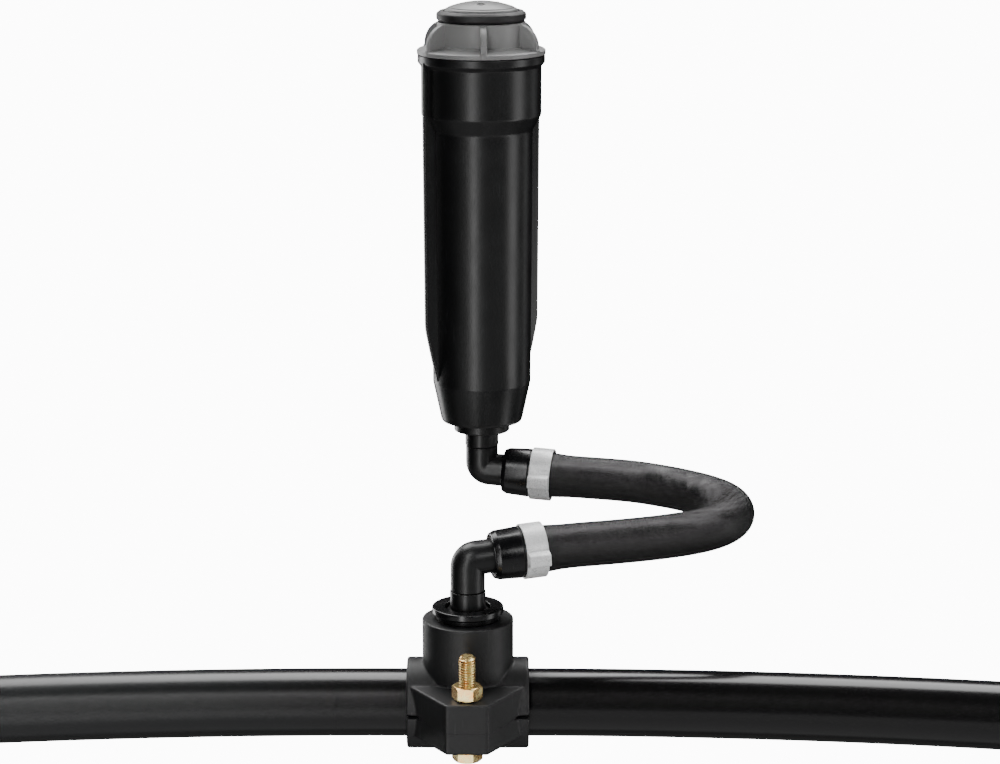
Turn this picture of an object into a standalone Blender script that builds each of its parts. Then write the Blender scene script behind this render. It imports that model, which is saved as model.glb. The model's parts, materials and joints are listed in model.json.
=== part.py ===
"""Pop up sprinkler on a swing joint, fed from a clamp saddle on a polyethylene pipe.

The origin is on the saddle's vertical axis, at the flat strip on its underside. +Z is up, +X runs along
the pipe, and -Y faces the nut that shows in front. Lengths are written in millimetres times MM.
"""

import math

import bmesh
import bpy
from mathutils import Matrix, Vector

MM = 0.001
GAP = 0.3 * MM  # clearance between pieces that touch
EPS = 0.5 * MM  # how far a cutter runs past the face that it opens

# Supply pipe
PIPE_R = 16.0 * MM
PIPE_WALL = 2.9 * MM
PIPE_Z = 21.3 * MM  # height of its axis over the saddle's underside
PIPE_SPAN = (-234.0 * MM, 264.0 * MM)
PIPE_STRAIGHT = 30.0 * MM  # half the length that the saddle holds straight
PIPE_BOW = 0.3313  # sideways bend per metre squared past the saddle, the set of a pipe sold in coils
PIPE_YAW = 0.01136
TAP_R = 6.0 * MM  # hole drilled through the pipe wall under the socket

# Saddle
COLLAR_R = 21.3 * MM
COLLAR_HALF = 28.4 * MM
SOCKET_R = 21.5 * MM
SOCKET_TOP = 63.5 * MM
LUG_TOP = PIPE_Z + 13.8 * MM
LUG_BOTTOM = PIPE_Z - 10.3 * MM
LUG_REACH = 43.7 * MM
LUG_ROOT = (26.8 * MM, 17.1 * MM)
LUG_FACE_HALF = 9.75 * MM
BOLT_Y = 34.0 * MM
BOLT_R = 3.9 * MM
NUT_FLATS = 13.0 * MM
NUT_HEIGHT = 6.5 * MM
HEAD_HEIGHT = 5.3 * MM
THREAD_SHOWN = 16.0 * MM  # bolt end above the nut

# Bush and swivel fittings
BUSH_TOP = 69.5 * MM
THREAD_BORE_R = 10.6 * MM
NIPPLE_R = 8.25 * MM
NIPPLE_THREAD_R = 10.3 * MM
NIPPLE_COLLAR = 9.0 * MM
NIPPLE_THREAD = 12.0 * MM
SPIGOT_R = 6.3 * MM
ELBOW_R = 7.75 * MM
ELBOW_BORE_R = 4.1 * MM
ELBOW_BEND = 8.4 * MM
LOWER_CORNER = Vector((0.0, 0.0, 92.4)) * MM
LOWER_SEAM = 15.4 * MM  # corner to the seam under it
LOWER_HEADING = math.radians(14.0)
LOWER_PITCH = math.radians(3.5)
UPPER_CORNER = Vector((6.0, 112.0, 106.3)) * MM
UPPER_SEAM = 12.5 * MM
UPPER_HEADING = math.radians(-10.0)
UPPER_PITCH = math.radians(3.0)

# Hose ends, measured along the outlet from the elbow's corner
HOSE_R = 10.25 * MM
HOSE_WALL = 3.6 * MM
HOSE_START = 14.0 * MM
CUFF_START = 11.5 * MM
CUFF_END = 36.0 * MM
CUFF_R = 12.3 * MM
CLAMP_MIDDLE = 31.2 * MM
CLAMP_HALF = 5.3 * MM
CLAMP_R = 13.2 * MM

# Centreline of the hose, from the upper elbow round the bend to the lower one, in millimetres
HOSE_ROUTE = (
    (19.77, 109.57, 105.57),
    (33.0, 107.24, 104.86),
    (46.4, 104.88, 104.2),
    (59.5, 102.6, 103.8),
    (72.0, 100.5, 103.4),
    (84.0, 98.2, 102.8),
    (95.0, 95.2, 101.9),
    (106.0, 90.8, 100.9),
    (117.0, 83.8, 100.0),
    (125.0, 74.5, 99.4),
    (128.8, 63.0, 99.1),
    (128.6, 51.0, 98.9),
    (124.2, 40.0, 98.6),
    (116.2, 31.2, 98.1),
    (105.5, 25.2, 97.5),
    (93.0, 21.6, 96.7),
    (79.5, 18.8, 96.0),
    (66.0, 15.9, 95.6),
    (52.5, 12.95, 95.35),
    (39.5, 9.85, 94.88),
    (26.5, 6.6, 94.07),
    (13.56, 3.38, 93.25),
)

# Sprinkler, heights over the origin
AXIS = Vector((6.0, 112.0, 0.0)) * MM
CASE_TOP = 316.9 * MM
FIN_AZIMUTHS = (-64.0, 116.0)  # degrees from the front, towards +X
FIN_THICK = 3.0 * MM
CAP_SEAT = CASE_TOP + GAP
NECK_R = 21.9 * MM
NECK_TOP = 333.0 * MM
RIB_AZIMUTH = 2.7
RIB_COUNT = 6
RIB_THICK = 3.0 * MM
RISER_R = 17.0 * MM
RISER_BORE_R = 15.2 * MM
RISER_BOTTOM = 153.0 * MM
RISER_TOP = 289.7 * MM
FLANGE_TOP = 160.0 * MM
SPRING_R = 19.7 * MM
SPRING_WIRE_R = 0.8 * MM
SPRING_TURNS = 9
SPRING_TOP = 310.6 * MM

# Gear train: two fixed pins, four levels
MODULE = 0.5 * MM
WHEEL_TEETH = 18
PINION_TEETH = 9
CENTRES = MODULE * (WHEEL_TEETH + PINION_TEETH) / 2 + 0.12 * MM
PIN_R = 0.8 * MM
PIN_BORE_R = 1.1 * MM
LEVEL_Z = [253.0 * MM + 4.0 * MM * level for level in range(4)]
GEAR_WIDTH = 3.0 * MM
CANISTER_R = 13.2 * MM
PRESSURE_ANGLE = math.radians(20.0)

BLACK = (0.012, 0.013, 0.013)
GREY = (0.165, 0.175, 0.18)
ZINC = (0.72, 0.56, 0.22)
ALUMINIUM = (0.78, 0.79, 0.80)
STEEL = (0.55, 0.56, 0.57)
ACETAL = (0.75, 0.74, 0.70)


def clear_scene():
    for old in list(bpy.data.objects):
        bpy.data.objects.remove(old, do_unlink=True)


def collection(name):
    made = bpy.data.collections.new(name)
    bpy.context.scene.collection.children.link(made)
    return made


def material(name, colour, roughness, metallic=0.0):
    made = bpy.data.materials.new(name)
    made.use_nodes = True
    shader = made.node_tree.nodes["Principled BSDF"]
    shader.inputs["Base Color"].default_value = (*colour, 1.0)
    shader.inputs["Roughness"].default_value = roughness
    shader.inputs["Metallic"].default_value = metallic
    made.diffuse_color = (*colour, 1.0)
    return made


# ---- placing ----


def world_place(item):
    """Where an unturned object sits, added up through its parents."""
    place = Vector((0.0, 0.0, 0.0))
    while item is not None:
        place += item.location
        item = item.parent
    return place


def put(item, place, parent):
    item.parent = parent
    item.location = Vector(place) - world_place(parent)
    return item


def pivot(name, place, parent=None):
    empty = bpy.data.objects.new(name, None)
    empty.empty_display_size = 10 * MM
    PARTS.objects.link(empty)
    return put(empty, place, parent)


def piece(name, mesh, place=(0, 0, 0), parent=None, turn=None):
    """A sub-part: its mesh is in its own frame, and place is where its origin goes."""
    made = bpy.data.objects.new(name, mesh)
    PARTS.objects.link(made)
    put(made, place, parent)
    if turn is not None:
        made.rotation_euler = turn
    mesh.shade_smooth()
    mesh.set_sharp_from_angle(angle=math.radians(35.0))
    made.data.materials.append(MATERIALS[FINISH[name]])
    return made


def tool(mesh, owner, turn=None):
    """A cutter or a block to be joined, in its owner's own frame."""
    made = bpy.data.objects.new("tool_" + owner.name, mesh)
    TOOLS.objects.link(made)
    made.parent = owner
    if turn is not None:
        made.rotation_euler = turn
    made.hide_render = True
    made.display_type = "WIRE"
    return made


def boolean(owner, operation, mesh, turn=None):
    step = owner.modifiers.new(operation.title(), "BOOLEAN")
    step.operation = operation
    step.solver = "EXACT"
    step.object = tool(mesh, owner, turn)
    return step.object


def cut(owner, mesh, turn=None):
    return boolean(owner, "DIFFERENCE", mesh, turn)


def join(owner, mesh, turn=None):
    return boolean(owner, "UNION", mesh, turn)


# ---- shapes ----


def mesh_of(bm, name="shape"):
    bmesh.ops.recalc_face_normals(bm, faces=bm.faces)
    mesh = bpy.data.meshes.new(name)
    bm.to_mesh(mesh)
    bm.free()
    return mesh


def box(low, high):
    bm = bmesh.new()
    bmesh.ops.create_cube(bm, size=1.0)
    size = Vector(high) - Vector(low)
    bmesh.ops.scale(bm, vec=size, verts=bm.verts)
    bmesh.ops.translate(bm, vec=(Vector(low) + Vector(high)) / 2, verts=bm.verts)
    return mesh_of(bm)


def rod(radius, low, high, sides=24, axis="Z", centre=(0, 0), top_radius=None):
    """A cylinder from low to high along an axis; centre is its place across that axis."""
    bm = bmesh.new()
    bmesh.ops.create_cone(
        bm,
        cap_ends=True,
        segments=sides,
        radius1=radius,
        radius2=radius if top_radius is None else top_radius,
        depth=high - low,
    )
    bmesh.ops.translate(bm, vec=(centre[0], centre[1], (low + high) / 2), verts=bm.verts)
    if axis == "X":
        bmesh.ops.rotate(bm, matrix=Matrix.Rotation(math.pi / 2, 3, "Y"), verts=bm.verts)
    return mesh_of(bm)


def prism(outline, low, high, thick_axis="Z"):
    """A flat outline, filled and given a thickness. With thick_axis Y the outline is in X and Z."""
    curve = bpy.data.curves.new("outline", "CURVE")
    curve.dimensions = "2D"
    curve.fill_mode = "BOTH"
    curve.extrude = (high - low) / 2
    spline = curve.splines.new("POLY")
    spline.points.add(len(outline) - 1)
    for point, (x, y) in zip(spline.points, outline):
        point.co = (x, y, 0.0, 1.0)
    spline.use_cyclic_u = True
    mesh = mesh_from_curve(curve)
    bm = bmesh.new()
    bm.from_mesh(mesh)
    bmesh.ops.translate(bm, vec=(0, 0, (low + high) / 2), verts=bm.verts)
    if thick_axis == "Y":
        bmesh.ops.rotate(bm, matrix=Matrix.Rotation(math.pi / 2, 3, "X"), verts=bm.verts)
    return mesh_of(bm)


def mesh_from_curve(curve):
    holder = bpy.data.objects.new("curve", curve)
    TOOLS.objects.link(holder)
    graph = bpy.context.evaluated_depsgraph_get()
    mesh = bpy.data.meshes.new_from_object(holder.evaluated_get(graph))
    bpy.data.objects.remove(holder)
    bpy.data.curves.remove(curve)
    bm = bmesh.new()
    bm.from_mesh(mesh)
    bmesh.ops.remove_doubles(bm, verts=bm.verts, dist=0.002 * MM)
    bm.to_mesh(mesh)
    bm.free()
    return mesh


def tube_curve(points, radius, resolution, caps=True):
    curve = bpy.data.curves.new("tube", "CURVE")
    curve.dimensions = "3D"
    curve.bevel_depth = radius
    curve.bevel_resolution = resolution
    curve.use_fill_caps = caps
    spline = curve.splines.new("POLY")
    spline.points.add(len(points) - 1)
    for point, place in zip(spline.points, points):
        point.co = (*place, 1.0)
    return curve


def tube_mesh(points, radius, resolution=4, caps=True):
    mesh = mesh_from_curve(tube_curve(points, radius, resolution, caps))
    bm = bmesh.new()
    bm.from_mesh(mesh)
    return mesh_of(bm)


def turned_profile(profile):
    """An outline in X and Z; a closed one runs down its outer side and up its inner side."""
    closed = min(x for x, _ in profile) > 0
    bm = bmesh.new()
    verts = [bm.verts.new((x, 0.0, z)) for x, z in profile]
    pairs = list(zip(verts, verts[1:]))
    if closed:
        pairs.append((verts[-1], verts[0]))
    for pair in pairs:
        bm.edges.new(pair)
    mesh = bpy.data.meshes.new("profile")
    bm.to_mesh(mesh)
    bm.free()
    return mesh


def spin(owner, sides):
    step = owner.modifiers.new("Turn", "SCREW")
    step.axis = "Z"
    step.angle = math.tau
    step.steps = sides
    step.render_steps = sides
    step.use_merge_vertices = True
    step.merge_threshold = 0.00001
    step.use_smooth_shade = True
    # one turn, ahead of any cut
    owner.modifiers.move(len(owner.modifiers) - 1, 0)
    return owner


def turned(name, profile, place, parent, sides=28, turn=None):
    return spin(piece(name, turned_profile(profile), place, parent, turn), sides)


def ring_profile(middle, height, section, points=6):
    """A round section for a ring, run clockwise."""
    return [
        (
            middle + section * math.cos(-math.tau * k / points),
            height + section * math.sin(-math.tau * k / points),
        )
        for k in range(points)
    ]


def radial(azimuth):
    """Turn about Z that points +X at an azimuth, counted from the front towards +X."""
    return (0.0, 0.0, math.radians(azimuth - 90.0))


def hexagon(flats):
    corner = flats / math.sqrt(3.0)
    return [(corner * math.cos(math.radians(60 * k)), corner * math.sin(math.radians(60 * k))) for k in range(6)]


# ---- pipe and saddle ----


def pipe_axis(x):
    past = max(0.0, abs(x) - PIPE_STRAIGHT)
    return Vector((x, -PIPE_BOW * past * past - PIPE_YAW * math.copysign(past, x), PIPE_Z))


def supply_pipe():
    steps = 5
    low, high = PIPE_SPAN
    left = [low + (-PIPE_STRAIGHT - low) * k / steps for k in range(steps + 1)]
    right = [PIPE_STRAIGHT + (high - PIPE_STRAIGHT) * k / steps for k in range(steps + 1)]
    line = [pipe_axis(x) for x in left + right]
    pipe = piece("supply_pipe", tube_mesh(line, PIPE_R, resolution=6, caps=False), (0, 0, 0), ROOT)
    wall = pipe.modifiers.new("Wall", "SOLIDIFY")
    wall.thickness = PIPE_WALL
    wall.offset = -1.0
    cut(pipe, rod(TAP_R, PIPE_Z, PIPE_Z + 1.5 * PIPE_R, sides=16))


def lug_outline():
    root_x, root_y = LUG_ROOT
    front = [(root_x, -root_y), (LUG_FACE_HALF, -LUG_REACH), (-LUG_FACE_HALF, -LUG_REACH), (-root_x, -root_y)]
    return front + [(-x, -y) for x, y in front]


def split_wedge(side):
    """The open V at one end of the split, from the collar's end in to where the lugs meet."""
    end = (COLLAR_HALF + EPS) * side
    tip = 12.0 * MM * side
    open_half = 0.8 * MM
    shape = [(end, PIPE_Z + open_half), (end, PIPE_Z - open_half), (tip, PIPE_Z - 0.15 * MM), (tip, PIPE_Z + 0.15 * MM)]
    return prism(shape, -LUG_REACH - EPS, LUG_REACH + EPS, thick_axis="Y")


def saddle_half(name, upper):
    collar = rod(COLLAR_R, -COLLAR_HALF, COLLAR_HALF, sides=32, axis="X", centre=(-PIPE_Z, 0))
    half = piece(name, collar, (0, 0, 0), ROOT)
    join(half, prism(lug_outline(), LUG_BOTTOM, LUG_TOP))
    if upper:
        join(half, rod(SOCKET_R, PIPE_Z + 2 * MM, SOCKET_TOP, sides=32))
        trim_low, trim_high = -EPS, PIPE_Z + 0.15 * MM
    else:
        join(half, box((-20 * MM, -5 * MM, 0.0), (20 * MM, 5 * MM, 4 * MM)))
        trim_low, trim_high = PIPE_Z - 0.15 * MM, SOCKET_TOP
    reach = LUG_REACH + 2 * MM
    cut(half, box((-reach, -reach, trim_low), (reach, reach, trim_high)))
    cut(half, rod(PIPE_R + GAP, -COLLAR_HALF - EPS, COLLAR_HALF + EPS, sides=32, axis="X", centre=(-PIPE_Z, 0)))
    if upper:
        cut(half, rod(8.5 * MM, PIPE_Z, 46 * MM, sides=24))
        cut(half, rod(12.9 * MM, PIPE_Z, 41.3 * MM, sides=24))
        cut(half, rod(14.3 * MM, 45 * MM, SOCKET_TOP + EPS, sides=24))
    for side in (-1, 1):
        cut(half, split_wedge(side))
        cut(half, rod(BOLT_R + GAP, LUG_BOTTOM - EPS, LUG_TOP + EPS, sides=16, centre=(0, side * BOLT_Y)))
    return half


def saddle_seal():
    seal = turned(
        "saddle_seal",
        [(12.6 * MM, 41.0 * MM), (12.6 * MM, 31.5 * MM), (8.5 * MM, 31.5 * MM), (8.5 * MM, 41.0 * MM)],
        (0, 0, 0),
        ROOT,
        sides=24,
    )
    cut(seal, rod(PIPE_R + GAP, -30 * MM, 30 * MM, sides=32, axis="X", centre=(-PIPE_Z, 0)))


def saddle_fastener(where, side):
    """Hexagon bolt from below, and its nut on the upper lug."""
    place = (0, side * BOLT_Y, 0)
    head_top = LUG_BOTTOM - GAP
    bolt = piece("saddle_bolt_" + where, prism(hexagon(NUT_FLATS), head_top - HEAD_HEIGHT, head_top), place, ROOT)
    nut_base = LUG_TOP + GAP
    nut_top = nut_base + NUT_HEIGHT
    join(bolt, rod(BOLT_R, head_top - 1 * MM, nut_top + THREAD_SHOWN, sides=16))
    nut = piece("saddle_nut_" + where, prism(hexagon(NUT_FLATS), nut_base, nut_top), place, ROOT)
    cut(nut, rod(BOLT_R + GAP, nut_base - EPS, nut_top + EPS, sides=16))


def reducer_bush():
    """Screwed into the socket: flange ring, neck below it, threaded shank, stepped bore."""
    outer = [
        (16.9, 69.5),
        (16.9, 66.6),
        (15.2, 66.0),
        (15.2, 63.9),
        (14.0, 63.9),
        (14.0, 45.6),
        (5.0, 45.6),
        (5.0, 54.0),
        (10.6, 54.0),
        (10.6, 69.5),
    ]
    turned("reducer_bush", [(r * MM, z * MM) for r, z in outer], (0, 0, 0), ROOT, sides=24)


# ---- swivels, elbows and hose ----


def nipple(name, seam, parent, flip):
    """Threaded piece that an elbow's spigot turns in. Its own origin is at the seam and it points down."""
    collar_end = -NIPPLE_COLLAR
    end = collar_end - NIPPLE_THREAD
    step = -17.6 * MM
    shape = [
        (NIPPLE_R, 0.0),
        (NIPPLE_R, collar_end),
        (NIPPLE_THREAD_R, collar_end),
        (NIPPLE_THREAD_R, end),
        (4.5 * MM, end),
        (4.5 * MM, step),
        (SPIGOT_R + GAP, step),
        (SPIGOT_R + GAP, 0.0),
    ]
    turn = (math.pi, 0.0, 0.0) if flip else None
    return turned(name, shape, seam, parent, sides=16, turn=turn)


def elbow_line(seam, reach, pitch):
    """Up the vertical leg, round the bend, and out along the outlet."""
    turn = math.pi / 2 - pitch
    tangent = ELBOW_BEND * math.tan(turn / 2)
    centre = Vector((ELBOW_BEND, 0.0, -tangent))
    steps = 6
    bend = [
        centre + ELBOW_BEND * Vector((-math.cos(turn * k / steps), 0.0, math.sin(turn * k / steps)))
        for k in range(steps + 1)
    ]
    outlet = Vector((math.cos(pitch), 0.0, math.sin(pitch)))
    return [Vector((0.0, 0.0, -seam)), *bend, outlet * reach]


def elbow(name, corner, seam, heading, pitch, flip):
    """Hollow elbow: spigot with a ring groove below the seam, barbed tail in the hose."""
    turn = (math.pi if flip else 0.0, 0.0, heading)
    leg = tube_mesh(elbow_line(seam - GAP / 2, 13.6 * MM, pitch), ELBOW_R)
    made = piece(name, leg, corner, SWING, turn)
    top = -seam + 4 * MM
    spigot = [
        (0.0, top),
        (SPIGOT_R, top),
        (SPIGOT_R, -seam - 9.0 * MM),
        (5.2 * MM, -seam - 9.0 * MM),
        (5.2 * MM, -seam - 11.4 * MM),
        (SPIGOT_R, -seam - 11.4 * MM),
        (SPIGOT_R, -seam - 17.0 * MM),
        (0.0, -seam - 17.0 * MM),
    ]
    spin(join(made, turned_profile(spigot)), 16)
    tail = [(0.0, 38 * MM), (5.2 * MM, 38 * MM)]
    for barb in range(3):
        base = (31.0 - 8.0 * barb) * MM
        tail += [(6.2 * MM, base), (5.4 * MM, base)]
    tail += [(5.4 * MM, 11 * MM), (0.0, 11 * MM)]
    spin(join(made, turned_profile(tail), turn=(0.0, math.pi / 2 - pitch, 0.0)), 12)
    cut(made, tube_mesh(elbow_line(seam + 20 * MM, 40 * MM, pitch), ELBOW_BORE_R, resolution=2))
    return made


def swivel_ring(name, corner, seam, flip):
    height = seam + 10.2 * MM
    height = height if flip else -height
    turned(name, ring_profile(5.95 * MM, height, 0.5 * MM, points=5), corner, SWING, sides=16)


def along(heading, pitch, flip):
    """Turn that lays a turned piece's +Z along an elbow's outlet."""
    lift = -pitch if flip else pitch
    return (0.0, math.pi / 2 - lift, heading)


def hose_end(where, corner, heading, pitch, flip):
    """Moulded cuff over the hose end, and the crimped ear clamp round it."""
    turn = along(heading, pitch, flip)
    cuff = [
        (11.9 * MM, CUFF_END),
        (11.9 * MM, CLAMP_MIDDLE - CLAMP_HALF - 0.6 * MM),
        (CUFF_R, CLAMP_MIDDLE - CLAMP_HALF - 1.2 * MM),
        (CUFF_R, CUFF_START + 2.6 * MM),
        (10.6 * MM, CUFF_START),
        (ELBOW_R + GAP, CUFF_START),
        (ELBOW_R + GAP, HOSE_START - GAP),
        (HOSE_R + GAP, HOSE_START - GAP),
        (HOSE_R + GAP, CUFF_END),
    ]
    turned(where + "_hose_cuff", cuff, corner, SWING, sides=18, turn=turn)
    low = CLAMP_MIDDLE - CLAMP_HALF
    high = CLAMP_MIDDLE + CLAMP_HALF
    band = [(CLAMP_R, high), (CLAMP_R, low), (12.2 * MM, low), (12.2 * MM, high)]
    clamp = turned(where + "_hose_clamp", band, corner, SWING, sides=18, turn=turn)
    ear = box((12.6 * MM, -2.6 * MM, low + 0.8 * MM), (14.8 * MM, 2.6 * MM, high - 0.8 * MM))
    ear_turn = math.radians(-60.0 if flip else -50.0)
    join(clamp, ear, turn=(0.0, 0.0, ear_turn))


def smooth_route(route, per_span):
    """Points along a Catmull-Rom curve through the route's own points."""
    padded = [2 * route[0] - route[1], *route, 2 * route[-1] - route[-2]]
    line = []
    for a, b, c, d in zip(padded, padded[1:], padded[2:], padded[3:]):
        for k in range(per_span):
            t = k / per_span
            line.append(
                0.5 * (2 * b + (c - a) * t + (2 * a - 5 * b + 4 * c - d) * t**2 + (3 * b - a - 3 * c + d) * t**3)
            )
    return line + [route[-1]]


def swing_hose():
    route = [Vector(point) * MM for point in HOSE_ROUTE]
    line = smooth_route(route, 1)
    hose = piece("swing_hose", tube_mesh(line, HOSE_R, resolution=4, caps=False), (0, 0, 0), SWING)
    wall = hose.modifiers.new("Wall", "SOLIDIFY")
    wall.thickness = HOSE_WALL
    wall.offset = -1.0


# ---- sprinkler body ----


def scaled(profile):
    return [(r * MM, z * MM) for r, z in profile]


def sprinkler_case():
    shape = [
        (31.4, 316.9),
        (31.4, 313.5),
        (29.7, 311.5),
        (29.7, 288.4),
        (29.0, 286.6),
        (25.8, 280.6),
        (25.4, 278.5),
        (24.6, 152.3),
        (21.0, 136.5),
        (19.8, 133.6),
        (18.2, 132.5),
        (14.0, 132.5),
        (14.0, 126.6),
        (10.6, 126.6),
        (10.6, 140.4),
        (8.6, 140.4),
        (8.6, 142.5),
        (13.0, 142.5),
        (13.0, 136.2),
        (17.6, 136.2),
        (22.3, 154.0),
        (22.7, 280.8),
        (27.2, 289.0),
        (27.2, 316.9),
    ]
    case = turned("sprinkler_case", scaled(shape), AXIS, HEAD, sides=24)
    fin = [
        (23.4, 154.5),
        (24.6, 154.0),
        (26.0, 161.0),
        (28.5, 169.5),
        (30.6, 178.0),
        (31.5, 187.0),
        (31.5, 314.5),
        (28.4, 314.5),
        (28.4, 289.0),
        (24.0, 278.0),
    ]
    for azimuth in FIN_AZIMUTHS:
        join(case, prism(scaled(fin), -FIN_THICK / 2, FIN_THICK / 2, thick_axis="Y"), turn=radial(azimuth))


def screw_cap():
    shape = [
        (21.5, 333.0),
        (21.9, 332.4),
        (21.9, 321.4),
        (31.0, 320.0),
        (31.7, 319.4),
        (31.7, 317.2),
        (26.9, 317.2),
        (26.9, 300.0),
        (24.4, 300.0),
        (24.4, 313.5),
        (19.6, 313.5),
        (19.6, 333.0),
    ]
    cap = turned("screw_cap", scaled(shape), AXIS, HEAD, sides=24)
    top, rim = 332.6, 320.4
    arc = [
        (21.0 + 10.3 * math.sin(math.radians(a)) ** 1.15, rim + (top - rim) * math.cos(math.radians(a)) ** 0.9)
        for a in (1, 30, 50, 68, 89)
    ]
    rib = [(21.0, rim - 1.6), *arc, (31.3, 318.8)]
    for k in range(RIB_COUNT):
        azimuth = RIB_AZIMUTH + 360.0 / RIB_COUNT * k
        join(cap, prism(scaled(rib[::-1]), -RIB_THICK / 2, RIB_THICK / 2, thick_axis="Y"), turn=radial(azimuth))


def seals_and_spring():
    turned("cap_oring", ring_profile(25.7 * MM, 298.6 * MM, 1.1 * MM, points=5), AXIS, HEAD, sides=20)
    wiper = [
        (21.2, 337.5),
        (22.0, 336.6),
        (22.0, 334.6),
        (21.4, 333.5),
        (19.2, 333.5),
        (19.2, 313.2),
        (23.9, 313.2),
        (23.9, 311.0),
        (17.4, 311.0),
        (17.4, 335.2),
        (18.6, 335.4),
        (18.6, 337.5),
    ]
    turned("wiper_seal", scaled(wiper), AXIS, HEAD, sides=22)
    per_turn = 8
    low = FLANGE_TOP + GAP + SPRING_WIRE_R
    high = SPRING_TOP - SPRING_WIRE_R
    count = SPRING_TURNS * per_turn
    line = []
    for k in range(count + 1):
        angle = math.tau * k / per_turn
        line.append((SPRING_R * math.cos(angle), SPRING_R * math.sin(angle), low + (high - low) * k / count))
    piece("retract_spring", tube_mesh(line, SPRING_WIRE_R, resolution=2), AXIS, HEAD)


# ---- riser ----


def riser_pieces():
    flange = 155.5 * MM
    tube = [
        (RISER_R, RISER_TOP),
        (RISER_R, FLANGE_TOP),
        (21.9 * MM, FLANGE_TOP),
        (21.9 * MM, flange),
        (RISER_R, flange),
        (RISER_R, RISER_BOTTOM),
        (RISER_BORE_R, RISER_BOTTOM),
        (RISER_BORE_R, RISER_TOP),
    ]
    turned("riser_tube", tube, AXIS, RISER, sides=22)
    outline = [(0.0, 146.0), (13.2, 146.0), (13.2, 152.7), (14.6, 152.7), (14.6, 144.6), (0.0, 144.6)]
    filter_basket = turned("filter_basket", scaled(outline), AXIS, RISER, sides=20)
    for k in range(3):
        slot = box((-8 * MM, -1.2 * MM, 144 * MM), (8 * MM, 1.2 * MM, 147 * MM))
        cut(filter_basket, slot, turn=(0.0, 0.0, math.radians(60.0 * k)))
    washer = [(12.6, 144.3), (12.6, 142.8), (9.2, 142.8), (9.2, 144.3)]
    turned("check_valve_seal", scaled(washer), AXIS, RISER, sides=20)


def stator_plate():
    shape = [(14.9, 241.5), (14.9, 240.0), (1.1, 240.0), (1.1, 241.5)]
    plate = turned("stator_plate", scaled(shape), AXIS, RISER, sides=20)
    for k in range(3):
        angle = math.tau * k / 3
        cut(plate, rod(2.2 * MM, 239 * MM, 243 * MM, sides=10, centre=(9 * MM * math.cos(angle), 9 * MM * math.sin(angle))))


def gearbox():
    """Canister that the gears turn in, its lid, and the two fixed pins."""
    can = [
        (13.2, 269.2),
        (13.2, 249.5),
        (2.4, 249.5),
        (2.4, 251.0),
        (12.2, 251.0),
        (12.2, 269.2),
    ]
    canister = turned("gearbox_canister", scaled(can), AXIS, RISER, sides=20)
    cut(canister, rod(PIN_BORE_R, 249 * MM, 252 * MM, sides=10, centre=(CENTRES, 0.0)))
    lid = [(13.2, 271.5), (13.2, 269.5), (3.4, 269.5), (3.4, 271.5)]
    cover = turned("gearbox_lid", scaled(lid), AXIS, RISER, sides=20)
    cut(cover, rod(PIN_BORE_R, 269 * MM, 272 * MM, sides=10, centre=(CENTRES, 0.0)))
    piece("centre_pin", rod(PIN_R, 240.2 * MM, 264.4 * MM, sides=10), AXIS, RISER)
    offset = AXIS + Vector((CENTRES, 0.0, 0.0))
    piece("offset_pin", rod(PIN_R, 249.7 * MM, 271.3 * MM, sides=10), offset, RISER)


def tooth_half_angle(teeth, radius):
    """Half the angle that an involute tooth takes up at a radius, thinned for backlash."""
    pitch_r = MODULE * teeth / 2
    base_r = pitch_r * math.cos(PRESSURE_ANGLE)
    involute = math.tan(PRESSURE_ANGLE) - PRESSURE_ANGLE
    here = math.acos(min(1.0, base_r / max(radius, base_r)))
    backlash = 0.10 * MM / pitch_r
    return math.pi / (2 * teeth) + involute - (math.tan(here) - here) - backlash


def gear_outline(teeth, phase):
    pitch_r = MODULE * teeth / 2
    root_r = pitch_r - 1.2 * MODULE
    tip_r = pitch_r + 0.8 * MODULE
    outline = []
    for k in range(teeth):
        middle = phase + math.tau * k / teeth
        for radius, side in ((root_r, -1), (tip_r, -1), (tip_r, 1), (root_r, 1)):
            angle = middle + side * tooth_half_angle(teeth, radius)
            outline.append((radius * math.cos(angle), radius * math.sin(angle)))
    return outline


def mesh_phase(teeth):
    """A wheel that faces its partner with a gap, when the partner has a tooth towards it."""
    return math.pi + math.pi / teeth


def compound_gear(name, level, axis_place, parent, wheel_phase, pinion_phase):
    low = LEVEL_Z[level]
    wheel = prism(gear_outline(WHEEL_TEETH, wheel_phase), low, low + GEAR_WIDTH)
    made = piece(name, wheel, axis_place, parent)
    pinion_top = LEVEL_Z[level + 1] + GEAR_WIDTH
    join(made, prism(gear_outline(PINION_TEETH, pinion_phase), low + 2 * MM, pinion_top))
    cut(made, rod(PIN_BORE_R, low - EPS, pinion_top + EPS, sides=10))
    return made


def turbine():
    hub, tip, blades = 4.2 * MM, 12.4 * MM, 8
    outline = []
    for k in range(blades):
        angle = math.tau * k / blades
        for radius, lean in ((hub, -0.18), (tip, -0.05), (tip, 0.05), (hub, 0.18)):
            outline.append((radius * math.cos(angle + lean), radius * math.sin(angle + lean)))
    wheel = piece("turbine_wheel", prism(outline, 243 * MM, 247 * MM), AXIS, TURBINE)
    join(wheel, rod(2.0 * MM, 242.2 * MM, 252.7 * MM, sides=14))
    cut(wheel, rod(PIN_BORE_R, 241 * MM, 254 * MM, sides=10))
    pinion = prism(gear_outline(PINION_TEETH, 0.0), LEVEL_Z[0], LEVEL_Z[0] + GEAR_WIDTH)
    pinion = piece("turbine_pinion", pinion, AXIS, TURBINE)
    cut(pinion, rod(PIN_BORE_R, 252 * MM, 257 * MM, sides=10))


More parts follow.
